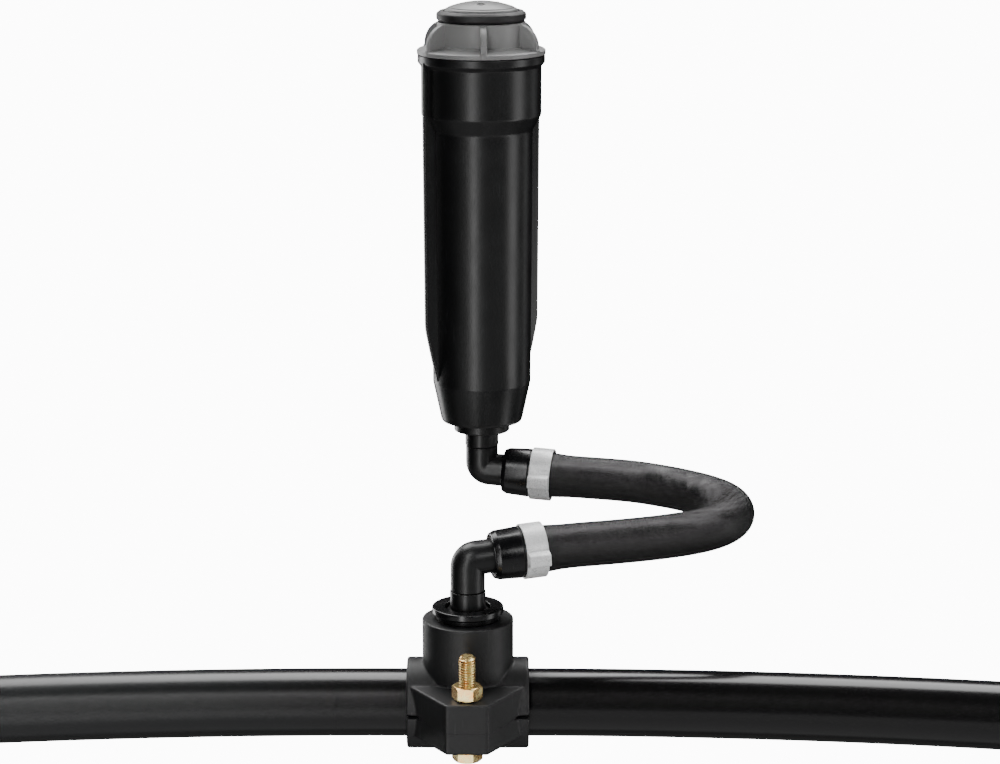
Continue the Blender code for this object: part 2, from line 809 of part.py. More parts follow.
def gears():
    offset = AXIS + Vector((CENTRES, 0.0, 0.0))
    facing = math.pi  # from the offset pin back to the middle
    compound_gear("first_gear", 0, offset, FIRST, mesh_phase(WHEEL_TEETH), facing)
    compound_gear("second_gear", 1, AXIS, SECOND, math.pi / WHEEL_TEETH, 0.0)
    compound_gear("third_gear", 2, offset, THIRD, mesh_phase(WHEEL_TEETH), facing)


def turret_pieces():
    low = LEVEL_Z[3]
    wheel = prism(gear_outline(WHEEL_TEETH, math.pi / WHEEL_TEETH), low, low + GEAR_WIDTH)
    output = piece("output_gear", wheel, AXIS, TURRET)
    join(output, rod(3.0 * MM, low + 2 * MM, 283.4 * MM, sides=16))
    body = [
        (17.0, 335.6),
        (17.0, 290.0),
        (14.9, 290.0),
        (14.9, 283.7),
        (5.0, 283.7),
        (5.0, 286.0),
        (13.0, 286.0),
        (13.0, 292.0),
        (14.5, 294.0),
        (14.5, 335.6),
    ]
    turret = turned("nozzle_turret", scaled(body), AXIS, TURRET, sides=22)
    cut(turret, rod(4.6 * MM, 12 * MM, 19 * MM, sides=14, axis="X", centre=(-322 * MM, 0.0)), turn=radial(0.0))
    nozzle = [(4.3, 16.4), (4.3, 9.5), (1.9, 9.5), (1.9, 13.0), (2.8, 16.4)]
    spin(
        piece(
            "nozzle",
            turned_profile(scaled(nozzle)),
            AXIS + Vector((0.0, 0.0, 322 * MM)),
            TURRET,
            (math.pi / 2, 0.0, 0.0),
        ),
        16,
    )
    dome = [
        (0.0, 343.0),
        (6.0, 342.8),
        (12.0, 342.0),
        (16.2, 340.4),
        (18.0, 338.8),
        (18.2, 336.9),
        (18.2, 335.9),
        (14.2, 335.9),
        (14.2, 331.0),
        (12.8, 331.0),
        (12.8, 337.2),
        (0.0, 338.4),
    ]
    lid = turned("turret_lid", scaled(dome), AXIS, TURRET, sides=20)
    cut(lid, rod(2.0 * MM, 330 * MM, 345 * MM, sides=12, centre=(0.0, -9 * MM)))
    cut(lid, rod(2.0 * MM, 330 * MM, 345 * MM, sides=12, centre=(7 * MM, 5 * MM)))


def adjusters():
    screw = rod(1.7 * MM, 326.8 * MM, 341.4 * MM, sides=12)
    piece("radius_screw", screw, AXIS + Vector((0.0, -9 * MM, 0.0)), RADIUS)
    arc = rod(1.7 * MM, 300.0 * MM, 341.6 * MM, sides=12)
    piece("arc_screw", arc, AXIS + Vector((7 * MM, 5 * MM, 0.0)), ARC)


FINISH = {
    "supply_pipe": "polyethylene",
    "saddle_upper_half": "black_plastic",
    "saddle_lower_half": "black_plastic",
    "saddle_seal": "rubber",
    "saddle_bolt_front": "zinc",
    "saddle_bolt_rear": "zinc",
    "saddle_nut_front": "zinc",
    "saddle_nut_rear": "zinc",
    "reducer_bush": "gloss_plastic",
    "lower_nipple": "gloss_plastic",
    "upper_nipple": "gloss_plastic",
    "lower_elbow": "black_plastic",
    "upper_elbow": "black_plastic",
    "lower_elbow_oring": "rubber",
    "upper_elbow_oring": "rubber",
    "lower_hose_cuff": "gloss_plastic",
    "upper_hose_cuff": "gloss_plastic",
    "lower_hose_clamp": "aluminium",
    "upper_hose_clamp": "aluminium",
    "swing_hose": "hose_rubber",
    "sprinkler_case": "black_plastic",
    "screw_cap": "grey_plastic",
    "cap_oring": "rubber",
    "wiper_seal": "rubber",
    "retract_spring": "steel",
    "riser_tube": "black_plastic",
    "filter_basket": "acetal",
    "check_valve_seal": "rubber",
    "stator_plate": "acetal",
    "gearbox_canister": "acetal",
    "gearbox_lid": "acetal",
    "centre_pin": "steel",
    "offset_pin": "steel",
    "turbine_wheel": "acetal",
    "turbine_pinion": "acetal",
    "first_gear": "acetal",
    "second_gear": "acetal",
    "third_gear": "acetal",
    "output_gear": "acetal",
    "nozzle_turret": "black_plastic",
    "nozzle": "grey_plastic",
    "turret_lid": "grey_plastic",
    "radius_screw": "steel",
    "arc_screw": "steel",
}

clear_scene()
PARTS = collection("pop_up_sprinkler")
TOOLS = collection("cutters")
MATERIALS = {
    "polyethylene": material("polyethylene", BLACK, 0.32),
    "black_plastic": material("black_plastic", BLACK, 0.42),
    "gloss_plastic": material("gloss_plastic", BLACK, 0.15),
    "hose_rubber": material("hose_rubber", BLACK, 0.3),
    "rubber": material("rubber", BLACK, 0.6),
    "grey_plastic": material("grey_plastic", GREY, 0.45),
    "zinc": material("zinc", ZINC, 0.3, 1.0),
    "aluminium": material("aluminium", ALUMINIUM, 0.35, 1.0),
    "steel": material("steel", STEEL, 0.3, 1.0),
    "acetal": material("acetal", ACETAL, 0.4),
}

ORIGIN = Vector((0.0, 0.0, 0.0))
OFFSET_AXIS = AXIS + Vector((CENTRES, 0.0, 0.0))
ROOT = pivot("saddle_frame", ORIGIN)
SWING = pivot("swing_axis", (0.0, 0.0, LOWER_CORNER.z - LOWER_SEAM), ROOT)
HEAD = pivot("head_axis", (AXIS.x, AXIS.y, UPPER_CORNER.z + UPPER_SEAM), SWING)
RISER = pivot("riser_axis", (AXIS.x, AXIS.y, RISER_BOTTOM), HEAD)
TURRET = pivot("turret_axis", (AXIS.x, AXIS.y, RISER_TOP), RISER)
TURBINE = pivot("turbine_axis", (AXIS.x, AXIS.y, 245 * MM), RISER)
FIRST = pivot("first_gear_axis", (OFFSET_AXIS.x, OFFSET_AXIS.y, LEVEL_Z[0]), RISER)
SECOND = pivot("second_gear_axis", (AXIS.x, AXIS.y, LEVEL_Z[1]), RISER)
THIRD = pivot("third_gear_axis", (OFFSET_AXIS.x, OFFSET_AXIS.y, LEVEL_Z[2]), RISER)
RADIUS = pivot("radius_screw_axis", (AXIS.x, AXIS.y - 9 * MM, 330 * MM), TURRET)
ARC = pivot("arc_screw_axis", (AXIS.x + 7 * MM, AXIS.y + 5 * MM, 330 * MM), TURRET)

supply_pipe()
saddle_half("saddle_upper_half", upper=True)
saddle_half("saddle_lower_half", upper=False)
saddle_seal()
saddle_fastener("front", -1)
saddle_fastener("rear", 1)
reducer_bush()
nipple("lower_nipple", (0.0, 0.0, LOWER_CORNER.z - LOWER_SEAM - GAP / 2), ROOT, flip=False)
elbow("lower_elbow", LOWER_CORNER, LOWER_SEAM, LOWER_HEADING, LOWER_PITCH, flip=False)
swivel_ring("lower_elbow_oring", LOWER_CORNER, LOWER_SEAM, flip=False)
hose_end("lower", LOWER_CORNER, LOWER_HEADING, LOWER_PITCH, flip=False)
swing_hose()
elbow("upper_elbow", UPPER_CORNER, UPPER_SEAM, UPPER_HEADING, UPPER_PITCH, flip=True)
swivel_ring("upper_elbow_oring", UPPER_CORNER, UPPER_SEAM, flip=True)
hose_end("upper", UPPER_CORNER, UPPER_HEADING, UPPER_PITCH, flip=True)
nipple("upper_nipple", (AXIS.x, AXIS.y, UPPER_CORNER.z + UPPER_SEAM + GAP / 2), HEAD, flip=True)
sprinkler_case()
screw_cap()
seals_and_spring()
riser_pieces()
stator_plate()
gearbox()
turbine()
gears()
turret_pieces()
adjusters()
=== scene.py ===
"""Looks of a pop-up sprinkler on a swing joint, clamped to a supply pipe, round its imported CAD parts.

The sprinkler stands on an upper elbow. A short curved hose and a lower elbow lead down to a saddle, and
the saddle is bolted round the pipe. Lengths are in millimetres and are turned to metres when a piece is
placed; only the camera and the lamps are in metres. The sections are: camera, making and placing,
materials, hose, studio, pipe and saddle, swing joint, sprinkler, inner works, all the pieces.
"""

import json
import math

import bmesh
import bpy
from mathutils import Matrix, Vector

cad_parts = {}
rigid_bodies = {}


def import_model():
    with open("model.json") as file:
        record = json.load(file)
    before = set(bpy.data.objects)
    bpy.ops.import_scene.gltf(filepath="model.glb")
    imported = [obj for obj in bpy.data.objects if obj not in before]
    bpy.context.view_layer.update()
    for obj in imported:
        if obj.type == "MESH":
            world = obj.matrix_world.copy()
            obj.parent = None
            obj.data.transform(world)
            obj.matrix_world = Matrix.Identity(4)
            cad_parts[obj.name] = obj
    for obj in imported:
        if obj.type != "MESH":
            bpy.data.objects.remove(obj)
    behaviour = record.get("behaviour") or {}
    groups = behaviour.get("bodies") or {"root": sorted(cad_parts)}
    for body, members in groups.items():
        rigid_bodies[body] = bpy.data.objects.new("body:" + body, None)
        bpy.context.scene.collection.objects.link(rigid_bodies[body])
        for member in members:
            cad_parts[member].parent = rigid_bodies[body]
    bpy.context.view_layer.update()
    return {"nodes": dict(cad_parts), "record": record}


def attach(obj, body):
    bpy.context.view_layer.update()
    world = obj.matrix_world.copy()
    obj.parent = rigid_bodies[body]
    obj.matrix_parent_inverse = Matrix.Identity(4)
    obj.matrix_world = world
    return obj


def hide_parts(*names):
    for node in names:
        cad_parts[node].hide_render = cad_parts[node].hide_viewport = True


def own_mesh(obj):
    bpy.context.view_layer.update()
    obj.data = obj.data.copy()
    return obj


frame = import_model()
MM = 0.001

# ---- driving dimensions, in millimetres ----

PIPE_R, PIPE_WALL, PIPE_Z = 16.0, 2.9, 21.3
PIPE_SPAN = (-234.0, 264.0)
PIPE_STRAIGHT, PIPE_BOW, PIPE_YAW = 30.0, 0.0003313, 0.01136

COLLAR_R, COLLAR_HALF = 21.6, 28.9
SOCKET_R, SOCKET_TOP = 21.5, 63.5
LUG_BOTTOM, LUG_TOP = 11.0, 35.1
LUG_ROOT, LUG_FACE = (26.8, 17.1), (9.75, 43.7)
SPLIT_GAP, SPLIT_MOUTH, SPLIT_TIP = 0.03, 1.0, 12.0
TAP_R, TAP_TOP, TAP_SEAT_R, TAP_SEAT_TOP = 8.5, 46.0, 12.9, 41.3
SOCKET_BORE, SOCKET_FLOOR = 14.3, 45.0

BOLT_Y, BOLT_R, THREAD_PITCH = 34.0, 3.9, 1.25
HEX_FLATS, HEX_TURN = 12.5, -6.6
HEAD_Z, NUT_Z, BOLT_END = (5.4, 10.7), (35.4, 41.9), 56.2

ELBOW_R, ELBOW_BEND, ELBOW_BORE = 8.1, 4.0, 4.1
SPIGOT_R, SPIGOT_LONG, GROOVE_R, GROOVE_SPAN = 6.4, 17.0, 5.2, (9.0, 11.4)
SHOULDER, TAIL_END, TAIL_TIP_R = 13.6, 38.0, 5.2
BARB_ROOT, BARB_R, BARB_LONG, BARB_STARTS = 5.4, 6.2, 6.0, (15.0, 23.0, 31.0)
NIPPLE_R, NIPPLE_BORE, NIPPLE_INLET = 8.4, 6.6, 4.5
NIPPLE_THREAD_R, NIPPLE_THREAD_DEPTH, NIPPLE_PITCH = 10.3, 0.8, 1.8
LOWER = {"corner": (0.0, 0.0, 92.4), "seam": 15.4, "heading": 14.0, "pitch": 3.5, "flip": False}
UPPER = {"corner": (6.0, 112.0, 106.3), "seam": 12.5, "heading": -10.0, "pitch": 3.0, "flip": True}

CUFF_R, CUFF_WAIST_R, CUFF_START, CUFF_END = 12.3, 11.9, 11.5, 36.0
CUFF_LIP_R, CUFF_BORE_R = 8.35, 10.55
CLAMP_R, CLAMP_BORE_R, CLAMP_MIDDLE, CLAMP_HALF, EAR_TURN = 13.2, 12.2, 31.2, 5.3, -88.0
HOSE_R, HOSE_HELD_R, HOSE_START = 10.6, 10.4, 13.9
HOSE_SWELL, SWELL_REACH = 0.6, 6.5

AXIS = (6.0, 112.0)
FIN_AZIMUTHS, FIN_THICK = (-64.0, 116.0), 3.0
RIB_COUNT, RIB_AZIMUTH, RIB_THICK = 6, 2.7, 3.2
SPRING_R, SPRING_WIRE_R, SPRING_SPAN, SPRING_TURNS = 19.7, 0.8, (160.3, 310.6), 9
NOZZLE_Z, CROWN_Z = 322.0, 343.0
RADIUS_SCREW_AT, ARC_SCREW_AT, KEY_HOLE_R = (0.0, -9.0), (7.0, 5.0), 2.0

# the hose's centreline, from the upper elbow round to the lower one
HOSE_ROUTE = [
    (19.77, 109.57, 105.57),
    (33.0, 107.24, 104.86),
    (46.4, 104.88, 104.2),
    (59.5, 102.6, 103.8),
    (72.0, 100.5, 103.4),
    (84.0, 98.2, 102.8),
    (95.0, 95.2, 101.9),
    (106.0, 90.8, 100.9),
    (117.0, 83.8, 100.0),
    (125.0, 74.5, 99.4),
    (128.8, 63.0, 99.1),
    (128.6, 51.0, 98.9),
    (124.2, 40.0, 98.6),
    (116.2, 31.2, 98.1),
    (105.5, 25.2, 97.5),
    (93.0, 21.6, 96.7),
    (79.5, 18.8, 96.0),
    (66.0, 15.9, 95.6),
    (52.5, 12.95, 95.35),
    (39.5, 9.85, 94.88),
    (26.5, 6.6, 94.07),
    (13.56, 3.38, 93.25),
]


# ---- camera ----

CAMERA_LENS, CAMERA_SENSOR, CAMERA_REACH = 97.7, 36.0, 200.0
CAMERA_PLACE, CAMERA_TILT = (0.0152, -1.2225, 0.4663), 76.72


def camera():
    data = bpy.data.cameras.new("camera")
    data.lens = CAMERA_LENS
    data.sensor_width = CAMERA_SENSOR
    data.clip_end = CAMERA_REACH
    item = bpy.data.objects.new("camera", data)
    bpy.context.scene.collection.objects.link(item)
    item.location = CAMERA_PLACE
    item.rotation_euler = (math.radians(CAMERA_TILT), 0.0, 0.0)
    bpy.context.scene.camera = item


camera()


# ---- making and placing ----


def rounded(corners, closed=True, steps=5):
    """An outline whose corners, each (across, up, radius), are turned into curves."""
    line = []
    count = len(corners)
    for k, (across, up, radius) in enumerate(corners):
        here = Vector((across, up))
        if radius == 0 or (not closed and k in (0, count - 1)):
            line.append(here)
            continue
        back = Vector(corners[k - 1][:2]) - here
        ahead = Vector(corners[(k + 1) % count][:2]) - here
        reach = min(radius / math.tan(back.angle(ahead) / 2), 0.48 * back.length, 0.48 * ahead.length)
        start = here + back.normalized() * reach
        end = here + ahead.normalized() * reach
        for step in range(steps + 1):
            t = step / steps
            line.append(start.lerp(here, t).lerp(here.lerp(end, t), t))
    return line


def closed_mesh(bm, merge=0.0005):
    """Merges doubles, turns every face outwards and hands over the mesh, still in millimetres."""
    bmesh.ops.remove_doubles(bm, verts=bm.verts, dist=merge)
    bmesh.ops.recalc_face_normals(bm, faces=bm.faces)
    mesh = bpy.data.meshes.new("shape")
    bm.to_mesh(mesh)
    bm.free()
    return mesh


def wire(bm, points, closed):
    verts = [bm.verts.new(point) for point in points]
    pairs = list(zip(verts, verts[1:]))
    if closed:
        pairs.append((verts[-1], verts[0]))
    return verts, [bm.edges.new(pair) for pair in pairs]


def lathe(corners, segments=128, steps=5):
    """A turned solid. An outline that touches the axis is open there, and any other is a ring's section."""
    closed = min(corner[0] for corner in corners) > 0
    bm = bmesh.new()
    outline = rounded(corners, closed, steps)
    verts, edges = wire(bm, [(point.x, 0.0, point.y) for point in outline], closed)
    bmesh.ops.spin(
        bm,
        geom=verts + edges,
        cent=(0, 0, 0),
        axis=(0, 0, 1),
        angle=math.tau,
        steps=segments,
        use_merge=True,
    )
    return closed_mesh(bm)


def prism(outline, low, high, edge=0.0, upright=False):
    """A flat outline given a thickness. An upright one stands in X and Z, and is thick along Y."""
    bm = bmesh.new()
    verts, _ = wire(bm, [(x, y, low) for x, y in outline], True)
    face = bm.faces.new(verts)
    made = bmesh.ops.extrude_face_region(bm, geom=[face])["geom"]
    top = [item for item in made if isinstance(item, bmesh.types.BMVert)]
    bmesh.ops.translate(bm, vec=(0, 0, high - low), verts=top)
    if edge:
        rims = [e for e in bm.edges if abs(e.verts[0].co.z - e.verts[1].co.z) < 1e-6]
        bmesh.ops.bevel(bm, geom=rims, offset=edge, affect="EDGES", segments=3, profile=0.5, material=-1)
    if upright:
        bmesh.ops.rotate(bm, matrix=Matrix.Rotation(math.pi / 2, 3, "X"), verts=bm.verts)
    return closed_mesh(bm)


def rod(radius, low, high, centre=(0.0, 0.0), segments=64, axis="Z"):
    bm = bmesh.new()
    bmesh.ops.create_cone(
        bm, cap_ends=True, segments=segments, radius1=radius, radius2=radius, depth=high - low
    )
    bmesh.ops.translate(bm, vec=(centre[0], centre[1], (low + high) / 2), verts=bm.verts)
    if axis == "X":
        bmesh.ops.rotate(bm, matrix=Matrix.Rotation(math.pi / 2, 3, "Y"), verts=bm.verts)
    return closed_mesh(bm)


def block(low, high):
    bm = bmesh.new()
    bmesh.ops.create_cube(bm, size=1.0)
    bmesh.ops.scale(bm, vec=Vector(high) - Vector(low), verts=bm.verts)
    bmesh.ops.translate(bm, vec=(Vector(low) + Vector(high)) / 2, verts=bm.verts)
    return closed_mesh(bm)


def swept(rings, straight=None, capped=True):
    """Extrudes a ring of points through the next ones.

    straight gives each point's place on the unbent tube.
    """
    bm = bmesh.new()
    layer = bm.verts.layers.float_vector.new("straight") if straight else None
    ring, first = wire(bm, rings[0], True)
    edges = first
    for number, places in enumerate(rings):
        if number:
            made = bmesh.ops.extrude_edge_only(bm, edges=edges)["geom"]
            fresh = {item for item in made if isinstance(item, bmesh.types.BMVert)}
            edges = [e for e in made if isinstance(e, bmesh.types.BMEdge) and fresh.issuperset(e.verts)]
            ring = [next(e.other_vert(v) for e in v.link_edges if e.other_vert(v) in fresh) for v in ring]
        for k, vert in enumerate(ring):
            vert.co = places[k]
            if layer:
                vert[layer] = straight[number][k]
    if capped:
        bmesh.ops.edgeloop_fill(bm, edges=first)
        bmesh.ops.edgeloop_fill(bm, edges=edges)
    return closed_mesh(bm)


def tube_frames(line):
    """For each point of a line, its place and two directions across it that turn as little as they can."""
    side = None
    frames = []
    for k, point in enumerate(line):
        ahead = (line[min(k + 1, len(line) - 1)] - line[max(k - 1, 0)]).normalized()
        if side is None:
            side = ahead.orthogonal().normalized() if abs(ahead.z) > 0.9 else Vector((0, 0, 1)).cross(ahead)
        side = (side - ahead * side.dot(ahead)).normalized()
        frames.append((point, side, ahead.cross(side)))
    return frames


def tube(line, radii, sides):
    """A swept tube's rings and the same rings unbent, for a radius at each point."""
    rings, straight = [], []
    run = 0.0
    for k, (point, side, up) in enumerate(tube_frames(line)):
        run += (point - line[k - 1]).length if k else 0.0
        turns = [math.tau * n / sides for n in range(sides)]
        rings.append([point + radii[k] * (side * math.cos(a) + up * math.sin(a)) for a in turns])
        straight.append([(radii[k] * math.cos(a), radii[k] * math.sin(a), run) for a in turns])
    return rings, straight


def combined(base, steps, voxel=None, passes=0):
    """A mesh after its Boolean steps, each (operation, mesh), and an optional voxel skin and smoothing."""
    scene = bpy.context.scene.collection.objects
    work = bpy.data.objects.new("work", base)
    scene.link(work)
    tools = []
    for operation, mesh in steps:
        tools.append(bpy.data.objects.new("tool", mesh))
        scene.link(tools[-1])
        step = work.modifiers.new("step", "BOOLEAN")
        step.operation = operation
        step.solver = "MANIFOLD"
        step.object = tools[-1]
    if voxel:
        skin = work.modifiers.new("skin", "REMESH")
        skin.mode = "VOXEL"
        skin.voxel_size = voxel
        soften = work.modifiers.new("soften", "SMOOTH")
        soften.factor = 0.5
        soften.iterations = passes
    graph = bpy.context.evaluated_depsgraph_get()
    mesh = bpy.data.meshes.new_from_object(work.evaluated_get(graph))
    for item in [work, *tools]:
        spent = item.data
        bpy.data.objects.remove(item)
        bpy.data.meshes.remove(spent)
    return mesh


def cut(base, *meshes):
    return combined(base, [("DIFFERENCE", mesh) for mesh in meshes])


def joined(*meshes):
    return combined(meshes[0], [("UNION", mesh) for mesh in meshes[1:]])


def moved(mesh, matrix):
    mesh.transform(matrix)
    return mesh


def at(x, y, z=0.0):
    return Matrix.Translation((x, y, z))


def radial(azimuth):
    """Points +X at an azimuth, counted from the front towards the right."""
    return Matrix.Rotation(math.radians(azimuth - 90.0), 4, "Z")


def outlet(elbow):
    """Lays a turned piece's +Z along an elbow's outlet."""
    lift = -elbow["pitch"] if elbow["flip"] else elbow["pitch"]
    tip = Matrix.Rotation(math.radians(90.0 - lift), 4, "Y")
    return at(*elbow["corner"]) @ Matrix.Rotation(math.radians(elbow["heading"]), 4, "Z") @ tip


def leg(elbow):
    """The place of an elbow whose leg runs down from its corner, or up when it is turned over."""
    over = Matrix.Rotation(math.pi if elbow["flip"] else 0.0, 4, "X")
    return at(*elbow["corner"]) @ Matrix.Rotation(math.radians(elbow["heading"]), 4, "Z") @ over


def seam_place(elbow):
    """The place of a nipple: its origin is at the swivel's seam and it runs down, or up if turned over."""
    x, y, z = elbow["corner"]
    over = Matrix.Rotation(math.pi if elbow["flip"] else 0.0, 4, "X")
    return at(x, y, z + (elbow["seam"] if elbow["flip"] else -elbow["seam"])) @ over


def piece(name, mesh, body, slot, nodes, sharp=32.0, finish=None):
    """A finished piece: to metres, smooth but for its sharp edges, on its body, in place of CAD nodes.

    It has its slot's finish unless it is given one of its own.
    """
    mesh.transform(Matrix.Scale(MM, 4))
    mesh.name = name
    mesh.materials.clear()
    mesh.materials.append(finish or FINISHES[slot])
    mesh.polygons.foreach_set("material_index", [0] * len(mesh.polygons))
    mesh.shade_smooth()
    mesh.set_sharp_from_angle(angle=math.radians(sharp))
    made = bpy.data.objects.new(name, mesh)
    bpy.context.scene.collection.objects.link(made)
    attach(made, body)
    if nodes:
        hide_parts(*nodes)
    return made


# ---- materials ----


def linear(code):
    """An sRGB hex colour as the linear colour that a shader takes."""
    parts = [int(code[k : k + 2], 16) / 255 for k in (1, 3, 5)]
    return (*(c / 12.92 if c <= 0.04045 else ((c + 0.055) / 1.055) ** 2.4 for c in parts), 1.0)


def per_mm(size):
    """A texture scale, in waves a metre, for a pattern of this size in millimetres."""
    return 1.0 / (size * MM)


def blank(name, colour, roughness, **values):
    made = bpy.data.materials.new(name)
    made.use_nodes = True
    shader = made.node_tree.nodes["Principled BSDF"]
    shader.inputs["Base Color"].default_value = linear(colour)
    shader.inputs["Roughness"].default_value = roughness
    for key, value in values.items():
        shader.inputs[key].default_value = value
    return made, shader


def add(material, kind, inputs=None, output=0, into=None, **settings):
    """Adds a node with its settings, and gives the output that is asked for, or links it into a socket.

    An input whose value is a socket is linked, and any other is set.
    """
    tree = material.node_tree
    node = tree.nodes.new(kind)
    for name, value in settings.items():
        setattr(node, name, value)
    for name, value in (inputs or {}).items():
        if isinstance(value, bpy.types.NodeSocket):
            tree.links.new(value, node.inputs[name])
        else:
            node.inputs[name].default_value = value
    if into:
        tree.links.new(node.outputs[output], into)
    return node.outputs[output]


def laid(material, stretch=(1.0, 1.0, 1.0), turn=(0.0, 0.0, 0.0), unbent=False):
    """Where a pattern is read: on the part as it stands, or on a tube as if it were unbent."""
    if unbent:
        source = add(material, "ShaderNodeAttribute", output="Vector", attribute_name="straight")
    else:
        source = add(material, "ShaderNodeTexCoord", output="Object")
    return add(material, "ShaderNodeMapping", {"Vector": source, "Scale": stretch, "Rotation": turn})


def dress(material, shader, tint, colours, shine, relief):
    """Lets the colour go from one to another by tint, and gives the shader its shine and its relief."""
    between = {0: tint, 6: linear(colours[0]), 7: linear(colours[1])}
    add(material, "ShaderNodeMix", between, 2, shader.inputs["Base Color"], data_type="RGBA")
    add(material, "ShaderNodeMapRange", shine, into=shader.inputs["Roughness"])
    add(material, "ShaderNodeBump", relief, into=shader.inputs["Normal"])


def moulded_plastic(name, colour, worn, roughness, spread, grain, depth):
    """Injection-moulded plastic: a fine spark-eroded grain, faint clouding, and a few rubbed hairlines."""
    made, shader = blank(name, colour, roughness, IOR=1.5)
    place = laid(made)
    scored = laid(made, (1.0, 1.0, 0.035), (0.1, 0.25, 0.0))
    clouding = {"Vector": place, "Scale": per_mm(14.0), "Detail": 3.0, "Roughness": 0.55}
    hairline = {"Vector": scored, "Scale": per_mm(0.45), "Detail": 1.0, "Roughness": 0.4}
    eroded = {"Vector": place, "Scale": per_mm(grain), "Detail": 2.0, "Roughness": 0.55}
    cloud = add(made, "ShaderNodeTexNoise", clouding)
    hairs = add(made, "ShaderNodeTexNoise", hairline)
    hairs = add(made, "ShaderNodeMapRange", {"Value": hairs, "From Min": 0.66, "From Max": 0.74})
    where = add(made, "ShaderNodeMapRange", {"Value": cloud, "From Min": 0.45, "From Max": 0.62})
    rubbed = add(made, "ShaderNodeMath", {0: hairs, 1: where}, operation="MULTIPLY")
    shine = {"Value": cloud, "From Min": 0.3, "From Max": 0.7}
    shine |= {"To Min": roughness - spread, "To Max": roughness + spread}
    pits = add(made, "ShaderNodeTexNoise", eroded)
    dress(made, shader, rubbed, (colour, worn), shine, {"Height": pits, "Distance": depth * MM})
    return made


# injection-moulded polypropylene, satin: broad soft reflections with hardly any grain
CASE_PLASTIC = moulded_plastic("polypropylene_satin_black", "#0c0c0d", "#232426", 0.34, 0.03, 0.5, 0.006)
# glass-filled nylon, eroded mould: a fine even grain that spreads the light
ELBOW_PLASTIC = moulded_plastic("nylon_grained_black", "#0d0d0e", "#242527", 0.36, 0.04, 0.35, 0.03)
# glass-filled polypropylene, matt: dark grey in the light, with a soft sheen at the edges
SADDLE_PLASTIC = moulded_plastic(
    "filled_polypropylene_matt_black", "#161617", "#303132", 0.5, 0.05, 0.45, 0.03
)
# moulded acetal, polished mould: sharp small highlights
GLOSS_PLASTIC = moulded_plastic("acetal_gloss_black", "#0b0b0d", "#242426", 0.26, 0.06, 1.8, 0.03)
# the same acetal off a finer-eroded mould: softer, wider highlights
NIPPLE_PLASTIC = moulded_plastic("acetal_satin_black", "#0b0b0c", "#222324", 0.32, 0.04, 0.4, 0.015)
# ABS moulded in mid grey, satin
CAP_PLASTIC = moulded_plastic("abs_satin_mid_grey", "#7b7b7b", "#919191", 0.42, 0.04, 0.45, 0.02)
# ABS moulded in a darker grey, a little rubbed, that faces up into the light
LID_PLASTIC = moulded_plastic("abs_satin_dark_grey", "#6c6c6c", "#828282", 0.38, 0.05, 0.5, 0.02)
# natural acetal of the inner works: milky white, waxy
ACETAL = moulded_plastic("acetal_natural", "#d9d8d0", "#e8e7e0", 0.38, 0.04, 0.6, 0.01)


def seal_rubber():
    """Nitrile rubber, moulded: dead black, soft sheen, dusty bloom."""
    made, shader = blank("nitrile_rubber_moulded", "#0e0e0f", 0.55, IOR=1.52)
    place = laid(made)
    dusting = {"Vector": place, "Scale": per_mm(5.0), "Detail": 4.0, "Roughness": 0.55}
    bloom = add(made, "ShaderNodeTexNoise", dusting)
    dust = {"Value": bloom, "From Min": 0.45, "From Max": 0.7, "To Max": 0.6}
    dusty = add(made, "ShaderNodeMapRange", dust)
    shine = {"Value": bloom, "From Min": 0.3, "From Max": 0.7, "To Min": 0.48, "To Max": 0.62}
    fine = {"Vector": place, "Scale": per_mm(0.4), "Detail": 3.0, "Roughness": 0.55}
    grain = add(made, "ShaderNodeTexNoise", fine)
    dress(made, shader, dusty, ("#0e0e0f", "#1d1d1e"), shine, {"Height": grain, "Distance": 0.01 * MM})
    return made


